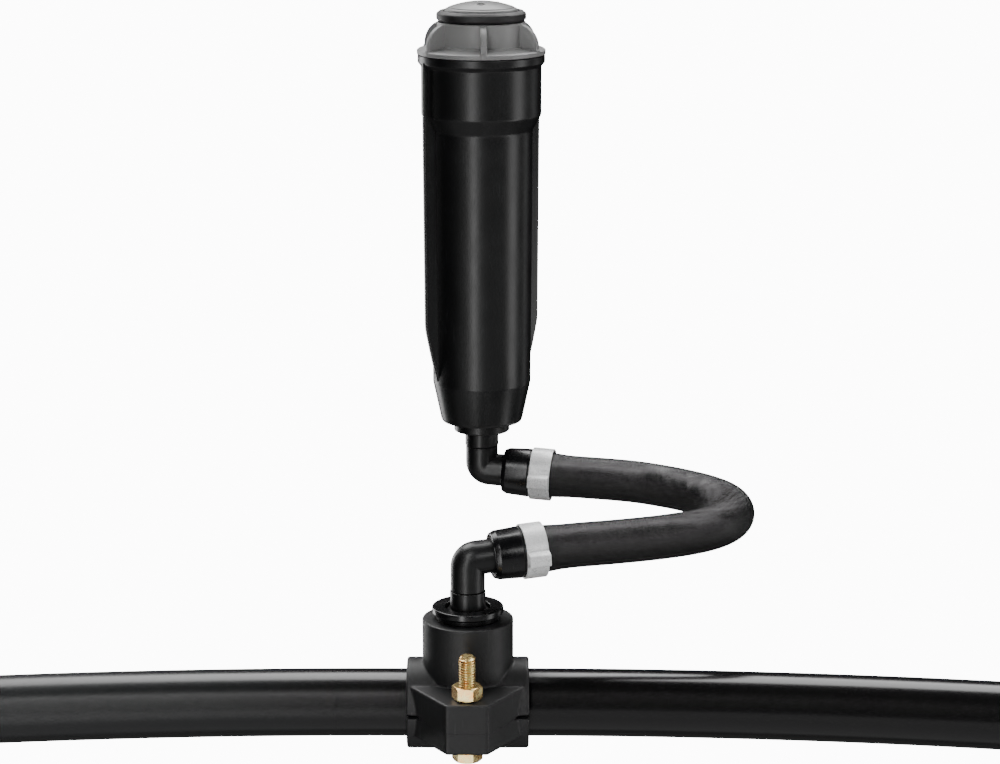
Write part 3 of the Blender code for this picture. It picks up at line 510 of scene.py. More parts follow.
def pipe_polyethylene():
    """Extruded polyethylene: drawn lines along it, a waxy shine, scratches, and hazy scuff patches kept to
    the left end, whose paler colour there is a painted highlight.
    """
    made, shader = blank("polyethylene_extruded_black", "#0b0b0c", 0.3, IOR=1.51)
    drawn_out = laid(made, (1.0, 1.0, 0.012), unbent=True)
    long_patches = laid(made, (1.0, 1.0, 0.45), unbent=True)
    aslant = laid(made, (1.0, 1.0, 0.05), (0.35, 0.1, 0.0), unbent=True)
    lines = {"Vector": drawn_out, "Scale": per_mm(0.7), "Detail": 3.0, "Roughness": 0.6}
    scuffs = {"Vector": long_patches, "Scale": per_mm(16.0), "Detail": 5.0, "Roughness": 0.65}
    scores = {"Vector": aslant, "Scale": per_mm(0.6), "Detail": 1.0, "Roughness": 0.3}
    haze_and_highlight = add(made, "ShaderNodeTexNoise", scuffs)
    haze_and_highlight = add(made, "ShaderNodeMapRange", {"Value": haze_and_highlight, "From Min": 0.4, "From Max": 0.6})
    # the hazy patches fade out towards the middle, so their paler colour is a painted highlight on the left
    # half, while their rougher shine is real scuffing
    along = add(made, "ShaderNodeSeparateXYZ", {"Vector": laid(made)}, "X")
    fading = {"Value": along, "From Min": -0.22, "From Max": 0.0, "To Min": 1.0, "To Max": 0.0}
    painted_left_highlight = add(made, "ShaderNodeMapRange", fading)
    haze_and_highlight = add(made, "ShaderNodeMath", {0: haze_and_highlight, 1: painted_left_highlight}, operation="MULTIPLY")
    scratch = add(made, "ShaderNodeTexNoise", scores)
    scratch = add(made, "ShaderNodeMapRange", {"Value": scratch, "From Min": 0.68, "From Max": 0.74})
    marks_and_highlight = add(made, "ShaderNodeMath", {0: haze_and_highlight, 1: scratch}, operation="MAXIMUM")
    # paler colour at the scratches, and at the left end's patches as painted highlight
    pale = add(made, "ShaderNodeMath", {0: marks_and_highlight, 1: 0.55}, operation="MULTIPLY")
    shine = {"Value": marks_and_highlight, "To Min": 0.2, "To Max": 0.46}
    drawn = add(made, "ShaderNodeTexNoise", lines)
    dress(made, shader, pale, ("#0b0b0c", "#2e2f31"), shine, {"Height": drawn, "Distance": 0.007 * MM})
    return made


def hose_rubber():
    """Extruded hose, cured in a woven wrap: soft waves along it, wet-looking shine, scuffed in places."""
    made, shader = blank("hose_rubber_ribbed_black", "#09090a", 0.2, IOR=1.53)
    wound = laid(made, (0.3, 0.3, 1.0), (0.12, 0.0, 0.0), unbent=True)
    # the texture's bands run twenty times as fast as its own unit, so a wave is tau * 2.4 mm long
    wave_scale = per_mm(2.4) / 20
    weft = {"Vector": wound, "Scale": wave_scale, "Distortion": 1.6, "Detail": 2.0, "Detail Scale": 3.0}
    waves = add(made, "ShaderNodeTexWave", weft, "Fac", wave_type="BANDS", bands_direction="Z")
    patches = laid(made, (1.0, 1.0, 0.5), unbent=True)
    swollen = laid(made, (1.0, 1.0, 0.7), unbent=True)
    handling = {"Vector": patches, "Scale": per_mm(11.0), "Detail": 4.0, "Roughness": 0.6}
    uneven = {"Vector": swollen, "Scale": per_mm(6.0), "Detail": 1.0, "Roughness": 0.4}
    patch = add(made, "ShaderNodeTexNoise", handling)
    lumps = add(made, "ShaderNodeTexNoise", uneven)
    scuff = add(made, "ShaderNodeMapRange", {"Value": patch, "From Min": 0.56, "From Max": 0.78})
    scuff = add(made, "ShaderNodeMath", {0: scuff, 1: 0.6}, operation="MULTIPLY")
    shine = {"Value": patch, "From Min": 0.35, "From Max": 0.7, "To Min": 0.1, "To Max": 0.24}
    waved = add(made, "ShaderNodeBump", {"Height": waves, "Distance": 0.03 * MM})
    relief = {"Height": lumps, "Distance": 0.08 * MM, "Normal": waved}
    dress(made, shader, scuff, ("#09090a", "#252627"), shine, relief)
    return made


def yellow_zinc():
    """Zinc plate with a yellow passivate: pale gold that drifts to straw and rose, lightly brushed."""
    made, shader = blank("steel_yellow_zinc_plated", "#dfc07c", 0.3, Metallic=0.85)
    place = laid(made)
    drifting = {"Vector": place, "Scale": per_mm(3.5), "Detail": 3.0, "Roughness": 0.55}
    drift = add(made, "ShaderNodeTexNoise", drifting)
    tint = add(made, "ShaderNodeMapRange", {"Value": drift, "From Min": 0.35, "From Max": 0.65})
    shine = {"Value": drift, "From Min": 0.3, "From Max": 0.7, "To Min": 0.2, "To Max": 0.34}
    fine = {"Vector": place, "Scale": per_mm(0.5), "Detail": 3.0, "Roughness": 0.55}
    grain = add(made, "ShaderNodeTexNoise", fine)
    dress(made, shader, tint, ("#d9a566", "#efe0a0"), shine, {"Height": grain, "Distance": 0.003 * MM})
    return made


def clamp_aluminium():
    """Aluminium strip, tumbled after rolling: a white frosted skin, speckled, with a few dull spots."""
    made, shader = blank("aluminium_rolled_tumbled", "#f4f4f4", 0.34, Metallic=0.15)
    place = laid(made)
    peened = {"Vector": place, "Scale": per_mm(0.7), "Detail": 4.0, "Roughness": 0.7}
    dulled = {"Vector": place, "Scale": per_mm(3.0), "Detail": 3.0, "Roughness": 0.55}
    speck = add(made, "ShaderNodeTexNoise", peened)
    dull = add(made, "ShaderNodeTexNoise", dulled)
    bright = add(made, "ShaderNodeMapRange", {"Value": speck, "From Min": 0.42, "From Max": 0.66})
    shine = {"Value": dull, "From Min": 0.35, "From Max": 0.65, "To Min": 0.26, "To Max": 0.5}
    dress(made, shader, bright, ("#dfe0e0", "#ffffff"), shine, {"Height": speck, "Distance": 0.03 * MM})
    return made


def spring_steel():
    """Drawn stainless wire: bright with drawing lines."""
    made, shader = blank("stainless_wire_drawn", "#c4c5c6", 0.28, Metallic=1.0)
    fine = {"Vector": laid(made), "Scale": per_mm(0.6), "Detail": 3.0, "Roughness": 0.55}
    fine = add(made, "ShaderNodeTexNoise", fine)
    shine = {"Value": fine, "From Min": 0.3, "From Max": 0.7, "To Min": 0.22, "To Max": 0.36}
    add(made, "ShaderNodeMapRange", shine, into=shader.inputs["Roughness"])
    add(made, "ShaderNodeBump", {"Height": fine, "Distance": 0.01 * MM}, into=shader.inputs["Normal"])
    return made


FINISHES = {
    "polyethylene": pipe_polyethylene(),
    "black_plastic": CASE_PLASTIC,
    "gloss_plastic": GLOSS_PLASTIC,
    "hose_rubber": hose_rubber(),
    "rubber": seal_rubber(),
    "grey_plastic": CAP_PLASTIC,
    "yellow_zinc": yellow_zinc(),
    "aluminium": clamp_aluminium(),
    "steel": spring_steel(),
    "acetal": ACETAL,
}


# ---- hose ----


def smooth_route(route, per_span):
    """Points on one smooth curve through the route's own points."""
    padded = [2 * route[0] - route[1], *route, 2 * route[-1] - route[-2]]
    line = []
    for a, b, c, d in zip(padded, padded[1:], padded[2:], padded[3:]):
        for k in range(per_span):
            t = k / per_span
            bend = (2 * a - 5 * b + 4 * c - d) * t**2 + (3 * b - a - 3 * c + d) * t**3
            line.append(0.5 * (2 * b + (c - a) * t + bend))
    return line + [route[-1]]


def run_lengths(line):
    runs = [0.0]
    for a, b in zip(line, line[1:]):
        runs.append(runs[-1] + (b - a).length)
    return runs


def swing_hose():
    """The hose swells a little where it comes out from under each clamp."""
    line = smooth_route([Vector(point) for point in HOSE_ROUTE], 12)
    runs = run_lengths(line)
    length = runs[-1]
    covered = CUFF_END - HOSE_START
    radii = []
    for run in runs:
        out = min(run, length - run) - covered
        swell = HOSE_SWELL * math.exp(-((max(out, 0.0) / SWELL_REACH) ** 2))
        radii.append(HOSE_HELD_R if out < -0.5 else HOSE_R + swell)
    rings, straight = tube(line, radii, 56)
    hose = piece("hose_swing", swept(rings, straight), "swing_arm", "hose_rubber", ["swing_hose"])


swing_hose()


# ---- studio ----

BACKDROP_WHITE, WORLD_DIM = 12.0, 0.02
FLOOR_Z, FLOOR_HALF, FLOOR_GREY = -1.3, 40.0, 0.1


def camera_only(tree, seen, otherwise):
    """A shader that the camera sees directly, and another for the light that it gives the object."""
    path = tree.nodes.new("ShaderNodeLightPath")
    blend = tree.nodes.new("ShaderNodeMixShader")
    tree.links.new(path.outputs["Is Camera Ray"], blend.inputs[0])
    tree.links.new(otherwise, blend.inputs[1])
    tree.links.new(seen, blend.inputs[2])
    return blend.outputs[0]


def studio_world(white, dim):
    world = bpy.data.worlds.new("studio")
    world.use_nodes = True
    bpy.context.scene.world = world
    tree = world.node_tree
    tree.nodes["Background"].inputs["Color"].default_value = (dim, dim, dim, 1.0)
    bright = tree.nodes.new("ShaderNodeBackground")
    bright.inputs["Color"].default_value = (1.0, 1.0, 1.0, 1.0)
    bright.inputs["Strength"].default_value = white
    blend = camera_only(tree, bright.outputs[0], tree.nodes["Background"].outputs[0])
    tree.links.new(blend, tree.nodes["World Output"].inputs["Surface"])


def studio_floor(white):
    """Pale floor, lit so evenly that it looks plain white."""
    bm = bmesh.new()
    bmesh.ops.create_grid(bm, x_segments=1, y_segments=1, size=FLOOR_HALF)
    bmesh.ops.translate(bm, vec=(0, 0, FLOOR_Z), verts=bm.verts)
    mesh = bpy.data.meshes.new("floor")
    bm.to_mesh(mesh)
    bm.free()
    paint = bpy.data.materials.new("floor_paint_white")
    paint.use_nodes = True
    tree = paint.node_tree
    shader = tree.nodes["Principled BSDF"]
    shader.inputs["Base Color"].default_value = (FLOOR_GREY, FLOOR_GREY, FLOOR_GREY, 1.0)
    shader.inputs["Roughness"].default_value = 0.9
    glow = tree.nodes.new("ShaderNodeEmission")
    glow.inputs["Strength"].default_value = white
    blend = camera_only(tree, glow.outputs[0], shader.outputs[0])
    tree.links.new(blend, tree.nodes["Material Output"].inputs["Surface"])
    mesh.materials.append(paint)
    floor = bpy.data.objects.new("floor", mesh)
    bpy.context.scene.collection.objects.link(floor)


def softbox(name, azimuth, distance, height, size, radiance, target=(0.0, 0.06, 0.2)):
    """A rectangular light, turned to the object. Its azimuth is from the camera's side, to the right."""
    angle = math.radians(azimuth)
    place = Vector((distance * math.sin(angle), -distance * math.cos(angle), height))
    data = bpy.data.lights.new(name, "AREA")
    data.shape = "RECTANGLE"
    data.size, data.size_y = size
    data.energy = radiance * math.pi * size[0] * size[1]
    item = bpy.data.objects.new(name, data)
    bpy.context.scene.collection.objects.link(item)
    item.location = place
    item.visible_camera = False
    item.rotation_euler = (Vector(target) - place).to_track_quat("-Z", "Y").to_euler()


studio_world(BACKDROP_WHITE, WORLD_DIM)
studio_floor(BACKDROP_WHITE)
softbox("softbox_left", -18.0, 1.5, 0.35, (0.3, 2.5), 6.0)
softbox("softbox_right", 80.0, 1.4, 0.1, (0.5, 1.8), 3.0)
softbox("softbox_top", 180.0, 0.72, 1.3, (1.9, 0.95), 8.0)
softbox("softbox_high", -27.0, 1.2, 1.35, (0.5, 0.4), 7.0)
softbox("softbox_front_right", 31.0, 1.28, 0.73, (0.4, 0.4), 6.5, target=(0.08, 0.02, 0.1))
softbox("softbox_below", 0.0, 0.74, -0.69, (3.2, 1.75), 0.4)
softbox("softbox_rear_left", -138.0, 1.5, 0.2, (0.5, 1.4), 5.0)
softbox("softbox_rear_right", 122.0, 1.5, 0.2, (0.25, 1.4), 1.0)


# ---- pipe and saddle ----


def supply_pipe():
    """Straight through the saddle, then bowed a little towards the front and turned slightly towards both
    ends; it keeps one height.
    """

    def place(x):
        past = max(0.0, abs(x) - PIPE_STRAIGHT)
        return Vector((x, -PIPE_BOW * past * past - PIPE_YAW * math.copysign(past, x), PIPE_Z))

    low, high = PIPE_SPAN
    count, sides = 120, 96
    chamfer = 0.6
    runs = [low, low + chamfer]
    runs += [low + chamfer + (high - low - 2 * chamfer) * k / count for k in range(1, count)]
    runs += [high - chamfer, high]
    line = [place(x) for x in runs]
    outer = [PIPE_R - (chamfer if k in (0, len(line) - 1) else 0.0) for k in range(len(line))]
    skin, flat = tube(line, outer, sides)
    bore, flat_bore = tube(line, [PIPE_R - PIPE_WALL] * len(line), sides)
    rings = skin + bore[::-1] + skin[:1]
    straight = flat + flat_bore[::-1] + flat[:1]
    pipe = swept(rings, straight, capped=False)
    piece("pipe_supply", pipe, "saddle", "polyethylene", ["supply_pipe"])


def saddle():
    """The clamp round the pipe, with a lug at the front and back for a bolt, moulded in two halves.

    It is shaped whole, so that the halves meet without a step, and is then parted at the pipe's middle.
    """
    reach, high = 50.0, 99.0
    root_x, root_y = LUG_ROOT
    face_x, face_y = LUG_FACE
    half = [
        (root_x, -root_y, 1.0),
        (face_x, -face_y, 1.4),
        (-face_x, -face_y, 1.4),
        (-root_x, -root_y, 1.0),
    ]
    outline = rounded(half + [(-x, -y, r) for x, y, r in half])
    added = [
        prism(outline, LUG_BOTTOM, LUG_TOP, edge=0.5),
        rod(SOCKET_R, PIPE_Z + 2, SOCKET_TOP, segments=128),
        block((-20.0, -5.0, 0.0), (20.0, 5.0, 4.0)),
    ]
    gone = [
        rod(PIPE_R + 0.3, -reach, reach, (-PIPE_Z, 0.0), 128, "X"),
        rod(TAP_R, PIPE_Z, TAP_TOP),
        rod(TAP_SEAT_R, PIPE_Z, TAP_SEAT_TOP),
        rod(SOCKET_BORE, SOCKET_FLOOR, SOCKET_TOP + 1),
    ]
    for side in (-1, 1):
        mouth, tip = (COLLAR_HALF + 0.5) * side, SPLIT_TIP * side
        wedge = [(mouth, PIPE_Z + SPLIT_MOUTH), (mouth, PIPE_Z - SPLIT_MOUTH), (tip, PIPE_Z)]
        gone.append(prism(wedge, -reach, reach, upright=True))
        gone.append(rod(BOLT_R + 0.2, 0.0, 60.0, (0.0, side * BOLT_Y)))
    ends = [
        (0, -COLLAR_HALF, 0),
        (COLLAR_R, -COLLAR_HALF, 1.2),
        (COLLAR_R, COLLAR_HALF, 1.2),
        (0, COLLAR_HALF, 0),
    ]
    collar = moved(lathe(ends), at(0, 0, PIPE_Z) @ Matrix.Rotation(math.pi / 2, 4, "Y"))
    steps = [("UNION", mesh) for mesh in added] + [("DIFFERENCE", mesh) for mesh in gone]
    whole = combined(collar, steps, voxel=0.55, passes=2)
    above = block((-reach, -reach, PIPE_Z - SPLIT_GAP), (reach, reach, high))
    below = block((-reach, -reach, -9.0), (reach, reach, PIPE_Z + SPLIT_GAP))
    for name, mesh, other in (("upper", whole.copy(), below), ("lower", whole, above)):
        kept = cut(mesh, other)
        node = "saddle_" + name + "_half"
        piece("saddle_" + name, kept, "saddle", "black_plastic", [node], 60.0, SADDLE_PLASTIC)


def hexagon(low, high, hole=None):
    """A hexagon whose corners are turned down to a cone at its two ends."""
    corner = HEX_FLATS / math.sqrt(3.0)
    outline = [(corner * math.cos(math.tau * k / 6), corner * math.sin(math.tau * k / 6)) for k in range(6)]
    flat = HEX_FLATS / 2
    cone = lathe(
        [
            (0, low, 0),
            (flat * 0.97, low, 0),
            (corner + 0.3, low + 1.0, 0),
            (corner + 0.3, high - 1.0, 0),
            (flat * 0.97, high, 0),
            (0, high, 0),
        ],
        64,
    )
    steps = [("INTERSECT", cone)]
    if hole:
        steps.append(("DIFFERENCE", rod(hole, low - 1, high + 1, segments=48)))
    return combined(prism(outline, low, high), steps)


def thread(low, high):
    """A helical thread, spun up its own pitch, cut flat at both ends and chamfered at the top."""
    turns = int((high - low) / THREAD_PITCH) + 3
    per_turn = 40
    root, flat = BOLT_R - 0.75, 0.12
    start = low - 1.5 * THREAD_PITCH
    half = THREAD_PITCH / 2
    profile = [(root, 0.0), (root, flat), (BOLT_R, half - flat), (BOLT_R, half + flat), (root, 2 * half)]
    bm = bmesh.new()
    verts, edges = wire(bm, [(r, 0.0, start + z) for r, z in profile], False)
    bmesh.ops.spin(
        bm,
        geom=verts + edges,
        cent=(0, 0, 0),
        axis=(0, 0, 1),
        dvec=(0, 0, THREAD_PITCH / per_turn),
        angle=math.tau * turns,
        steps=per_turn * turns,
    )
    bmesh.ops.remove_doubles(bm, verts=bm.verts, dist=0.004)
    for height, outer in ((low, False), (high, True)):
        bmesh.ops.bisect_plane(
            bm,
            geom=list(bm.verts) + list(bm.edges) + list(bm.faces),
            dist=0.0001,
            plane_co=(0, 0, height),
            plane_no=(0, 0, 1),
            clear_outer=outer,
            clear_inner=not outer,
        )
    for vert in bm.verts:
        across = Vector((vert.co.x, vert.co.y)).length
        most = BOLT_R - 1.1 * max(0.0, vert.co.z - high + 1.1)
        if across > most:
            vert.co.x *= most / across
            vert.co.y *= most / across
    bmesh.ops.holes_fill(bm, edges=[e for e in bm.edges if e.is_boundary], sides=0)
    return closed_mesh(bm)


def saddle_fastener(where, side):
    place = at(0.0, side * BOLT_Y) @ Matrix.Rotation(math.radians(HEX_TURN), 4, "Z")
    head = joined(hexagon(*HEAD_Z), rod(BOLT_R - 0.75, HEAD_Z[1] - 1, NUT_Z[0] + 1))
    shaft = thread(NUT_Z[0] - 0.5, BOLT_END)
    bm = bmesh.new()
    bm.from_mesh(head)
    bm.from_mesh(shaft)
    bolt = moved(closed_mesh(bm, 0.0001), place)
    piece("bolt_" + where, bolt, "saddle", "yellow_zinc", ["saddle_bolt_" + where], 25.0)
    nut = moved(hexagon(*NUT_Z, hole=BOLT_R + 0.05), place)
    piece("nut_" + where, nut, "saddle", "yellow_zinc", ["saddle_nut_" + where], 25.0)


def reducer_bush():
    bush = lathe(
        [
            (16.9, 69.5, 0.9),
            (16.9, 66.6, 0.5),
            (15.2, 66.0, 0.5),
            (15.2, 63.9, 0.2),
            (14.0, 63.9, 0.1),
            (14.0, 45.6, 0.4),
            (5.0, 45.6, 0.3),
            (5.0, 54.0, 0),
            (10.6, 54.0, 0),
            (10.6, 69.5, 0.7),
        ]
    )
    piece("bush_reducer", bush, "saddle", "gloss_plastic", ["reducer_bush"])


# ---- swing joint ----


def nipple(name, elbow, body, node):
    """Swivel collar with a coarse thread below it, bored for the elbow's spigot down to a narrow inlet."""
    collar, thread_end, step = -9.0, -21.0, -17.6
    root = NIPPLE_THREAD_R - NIPPLE_THREAD_DEPTH
    outline = [(NIPPLE_R, 0.0, 0.5), (NIPPLE_R, collar, 0.3)]
    ridge = collar
    while ridge - NIPPLE_PITCH > thread_end:
        outline += [(root, ridge, 0), (NIPPLE_THREAD_R, ridge - NIPPLE_PITCH / 2, 0.1)]
        ridge -= NIPPLE_PITCH
    outline += [
        (root, thread_end, 0.2),
        (NIPPLE_INLET, thread_end, 0.3),
        (NIPPLE_INLET, step, 0),
        (NIPPLE_BORE, step, 0),
        (NIPPLE_BORE, 0.0, 0.4),
    ]
    mesh = moved(lathe(outline, 96), seam_place(elbow))
    piece(name, mesh, body, "gloss_plastic", [node], finish=NIPPLE_PLASTIC)


def elbow_ring(radius, turned, pitch_turn, run, sides):
    """A ring round an elbow's centreline. On its inner side a tight bend folds onto the mitre instead."""
    half = math.tan(pitch_turn / 2)
    ring = []
    for k in range(sides):
        angle = math.tau * k / sides
        x, y = radius * math.cos(angle), radius * math.sin(angle)
        if run is not None and turned == 0:
            low = -x * half
            ring.append(Vector((x, y, min(run, low) if x > ELBOW_BEND else run)))
        elif x > ELBOW_BEND:
            ring.append(Vector((x, y, -x * half)))
        else:
            swing = ELBOW_BEND - x
            out, up = swing * math.cos(turned), swing * math.sin(turned)
            ring.append(Vector((ELBOW_BEND - out, y, up - ELBOW_BEND * half)))
    return ring


def elbow_rings(radius, low_runs, tail_runs, pitch, sides=64, bend_steps=14):
    """Up the leg by (height, radius), round the bend, and out along the outlet by (reach, radius)."""
    turn = math.pi / 2 - pitch
    rings = []
    for height, wide in low_runs:
        rings.append(elbow_ring(wide, 0.0, turn, height, sides))
    for k in range(bend_steps + 1):
        rings.append(elbow_ring(radius, turn * k / bend_steps, turn, None, sides))
    ahead = Vector((math.cos(pitch), 0.0, math.sin(pitch)))
    inner = Vector((math.sin(pitch), 0.0, -math.cos(pitch)))
    for reach, wide in tail_runs:
        ring = []
        for k in range(sides):
            angle = math.tau * k / sides
            x, y = wide * math.cos(angle), wide * math.sin(angle)
            ring.append(ahead * reach + inner * x + Vector((0.0, y, 0.0)))
        rings.append(ring)
    return rings


def elbow(name, place, node):
    """Elbow with a grooved spigot that turns in the nipple, and a barbed tail inside the hose."""
    seam, pitch = place["seam"], math.radians(place["pitch"])
    near, far = GROOVE_SPAN
    spigot = [
        (-seam - SPIGOT_LONG, SPIGOT_R),
        (-seam - far, SPIGOT_R),
        (-seam - far, GROOVE_R),
        (-seam - near, GROOVE_R),
        (-seam - near, SPIGOT_R),
        (-seam + 0.05, SPIGOT_R),
        (-seam + 0.05, ELBOW_R - 0.5),
        (-seam + 0.5, ELBOW_R),
    ]
    tail = [(SHOULDER, ELBOW_R), (SHOULDER, BARB_ROOT)]
    for start in BARB_STARTS:
        tail += [(start, BARB_ROOT), (start, BARB_R), (start + BARB_LONG, BARB_ROOT)]
    tail += [(TAIL_END, TAIL_TIP_R)]
    skin = elbow_rings(ELBOW_R, spigot, tail, pitch)
    bore_ends = [(-seam - SPIGOT_LONG, ELBOW_BORE)], [(TAIL_END, ELBOW_BORE)]
    bore = elbow_rings(ELBOW_BORE, *bore_ends, pitch)
    mesh = swept(skin + bore[::-1] + skin[:1], capped=False)
    mesh.transform(leg(place))
    piece(name, mesh, "swing_arm", "black_plastic", [node], 38.0, ELBOW_PLASTIC)


def cuff(name, place, node):
    """Moulded sleeve over the hose end: tapered nose, ring groove in its face, waist under the clamp."""
    waist = CLAMP_MIDDLE - CLAMP_HALF
    lip_end = HOSE_START - 0.2
    outline = [
        (CUFF_WAIST_R, CUFF_END, 0.5),
        (CUFF_WAIST_R, waist - 0.6, 0.2),
        (CUFF_R, waist - 1.2, 0.3),
        (11.7, CUFF_START + 2.2, 0.8),
        (10.7, CUFF_START + 0.1, 0.5),
        (9.9, CUFF_START, 0.1),
        (9.7, CUFF_START + 0.7, 0.1),
        (9.1, CUFF_START + 0.7, 0.1),
        (8.9, CUFF_START, 0.1),
        (CUFF_LIP_R, CUFF_START, 0.3),
        (CUFF_LIP_R, lip_end, 0),
        (CUFF_BORE_R, lip_end, 0),
        (CUFF_BORE_R, CUFF_END, 0.3),
    ]
    mesh = moved(lathe(outline, 96), outlet(place))
    piece(name, mesh, "swing_arm", "gloss_plastic", [node])


def clamp(name, place, node):
    """Ear clamp: a rolled band with a crimped ear standing off it."""
    low, high = CLAMP_MIDDLE - CLAMP_HALF, CLAMP_MIDDLE + CLAMP_HALF
    section = [
        (CLAMP_R, high, 0.35),
        (CLAMP_R, low, 0.35),
        (CLAMP_BORE_R, low, 0.2),
        (CLAMP_BORE_R, high, 0.2),
    ]
    foot = [(12.3, 4.6, 0), (13.3, 3.5, 0.8), (17.2, 3.0, 1.3)]
    ear = rounded([(x, -y, r) for x, y, r in foot] + foot[::-1])
    lug = prism([(p.x, p.y) for p in ear], low + 0.15, high - 0.15, edge=0.3)
    lug.transform(Matrix.Rotation(math.radians(EAR_TURN), 4, "Z"))
    mesh = moved(joined(lathe(section, 96), lug), outlet(place))
    piece(name, mesh, "swing_arm", "aluminium", [node])


# ---- sprinkler ----


def case():
    """Stepped case that tapers to its threaded inlet, with a thin fin down each side."""
    outline = [
        (31.4, 316.9, 0.5),
        (31.4, 313.3, 0.7),
        (29.7, 311.2, 1.6),
        (29.7, 287.4, 3.2),
        (25.45, 279.6, 4.0),
        (24.6, 152.3, 3.0),
        (20.6, 133.4, 0.7),
        (19.9, 132.0, 0.5),
        (14.0, 132.0, 0.9),
        (14.0, 126.6, 0.8),
        (10.6, 126.6, 0.4),
        (10.6, 140.4, 0),
        (8.6, 140.4, 0),
        (8.6, 142.5, 0),
        (13.0, 142.5, 0),
        (13.0, 136.2, 0),
        (17.6, 136.2, 0),
        (22.3, 154.0, 0),
        (22.7, 280.8, 0),
        (27.2, 289.0, 0),
        (27.2, 316.9, 0.3),
    ]
    body = lathe(outline, 160, steps=7)
    fins = []
    fin = [
        (23.4, 154.5, 0),
        (24.7, 153.8, 1),
        (28.2, 168.3, 14),
        (31.0, 181.5, 30),
        (31.7, 290.0, 40),
        (31.7, 314.5, 1),
        (28.4, 314.5, 0),
        (28.4, 289.0, 0),
        (24.0, 278.0, 0),
    ]
    for azimuth in FIN_AZIMUTHS:
        plate = prism(rounded(fin), -FIN_THICK / 2, FIN_THICK / 2, edge=0.7, upright=True)
        fins.append(moved(plate, radial(azimuth)))
    mesh = moved(joined(body, *fins), at(*AXIS))
    piece("case_sprinkler", mesh, "head", "black_plastic", ["sprinkler_case"])


def cap():
    """Screw cap: neck, sloping flange, and ribs that run from the neck's top over the flange to its rim."""
    body = lathe(
        [
            (19.6, 333.0, 0.4),
            (21.9, 333.0, 0.8),
            (21.9, 321.7, 0.9),
            (23.2, 321.5, 0.2),
            (23.4, 321.0, 0.3),
            (30.9, 319.8, 0.6),
            (31.7, 319.2, 0.3),
            (31.7, 317.2, 0.4),
            (26.9, 317.2, 0),
            (26.9, 300.0, 0.4),
            (24.4, 300.0, 0.3),
            (24.4, 313.5, 0),
            (19.6, 313.5, 0),
        ],
        160,
    )
    top, rim, root, spread = 332.6, 320.4, 21.0, 10.3
    arc = []
    for k in range(15):
        angle = math.radians(1 + 88 * k / 14)
        height = rim + (top - rim) * math.cos(angle) ** 0.9
        arc.append((root + spread * math.sin(angle) ** 1.15, height))
    rib = [(root, rim - 1.8), *arc, (31.8, 320.1), (31.8, 317.6), (30.5, 317.6)]
    ribs = []
    for k in range(RIB_COUNT):
        bar = prism(rib, -RIB_THICK / 2, RIB_THICK / 2, edge=0.6, upright=True)
        ribs.append(moved(bar, radial(RIB_AZIMUTH + 360.0 / RIB_COUNT * k)))
    mesh = moved(joined(body, *ribs), at(*AXIS))
    piece("cap_screw", mesh, "head", "grey_plastic", ["screw_cap"])


def wiper():
    """Seal that wipes the riser: a lip standing over the cap's neck and a flange held under it."""
    outline = [
        (20.5, 338.3, 0.9),
        (22.1, 337.0, 1.2),
        (22.1, 334.4, 0.9),
        (21.2, 333.5, 0.3),
        (19.2, 333.5, 0),
        (19.2, 313.2, 0),
        (23.9, 313.2, 0.3),
        (23.9, 311.0, 0.3),
        (17.4, 311.0, 0.3),
        (17.4, 335.2, 0.2),
        (18.6, 335.6, 0.2),
        (18.6, 338.3, 0.4),
    ]
    piece("wiper_ring", moved(lathe(outline, 160), at(*AXIS)), "head", "rubber", ["wiper_seal"])


def cap_seal():
    ring_r, height, cord_r = 25.7, 298.6, 1.1
    ring = []
    for k in range(16):
        turn = -math.tau * k / 16
        ring.append((ring_r + cord_r * math.cos(turn), height + cord_r * math.sin(turn), 0))
    piece("cap_seal", moved(lathe(ring, 96), at(*AXIS)), "head", "rubber", ["cap_oring"])


def spring():
    """Coil spring that the riser presses together as it pops up."""
    per_turn = 28
    low, high = SPRING_SPAN[0] + SPRING_WIRE_R, SPRING_SPAN[1] - SPRING_WIRE_R
    count = SPRING_TURNS * per_turn
    line = [
        Vector(
            (
                AXIS[0] + SPRING_R * math.cos(math.tau * k / per_turn),
                AXIS[1] + SPRING_R * math.sin(math.tau * k / per_turn),
                low + (high - low) * k / count,
            )
        )
        for k in range(count + 1)
    ]
    rings, _ = tube(line, [SPRING_WIRE_R] * len(line), 10)
    coil = piece("spring_return", swept(rings), "head", "steel", ["retract_spring"], 60.0)
    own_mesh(coil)


def riser():
    """Stem that pops up, with a guide flange at its foot."""
    outline = [
        (17.0, 289.7, 0.4),
        (17.0, 160.0, 0.3),
        (21.9, 160.0, 0.4),
        (21.9, 155.5, 0.4),
        (17.0, 155.5, 0.2),
        (17.0, 153.0, 0.4),
        (15.2, 153.0, 0.3),
        (15.2, 289.7, 0.3),
    ]
    mesh = moved(lathe(outline, 128), at(*AXIS))
    piece("riser_stem", mesh, "riser", "black_plastic", ["riser_tube"])


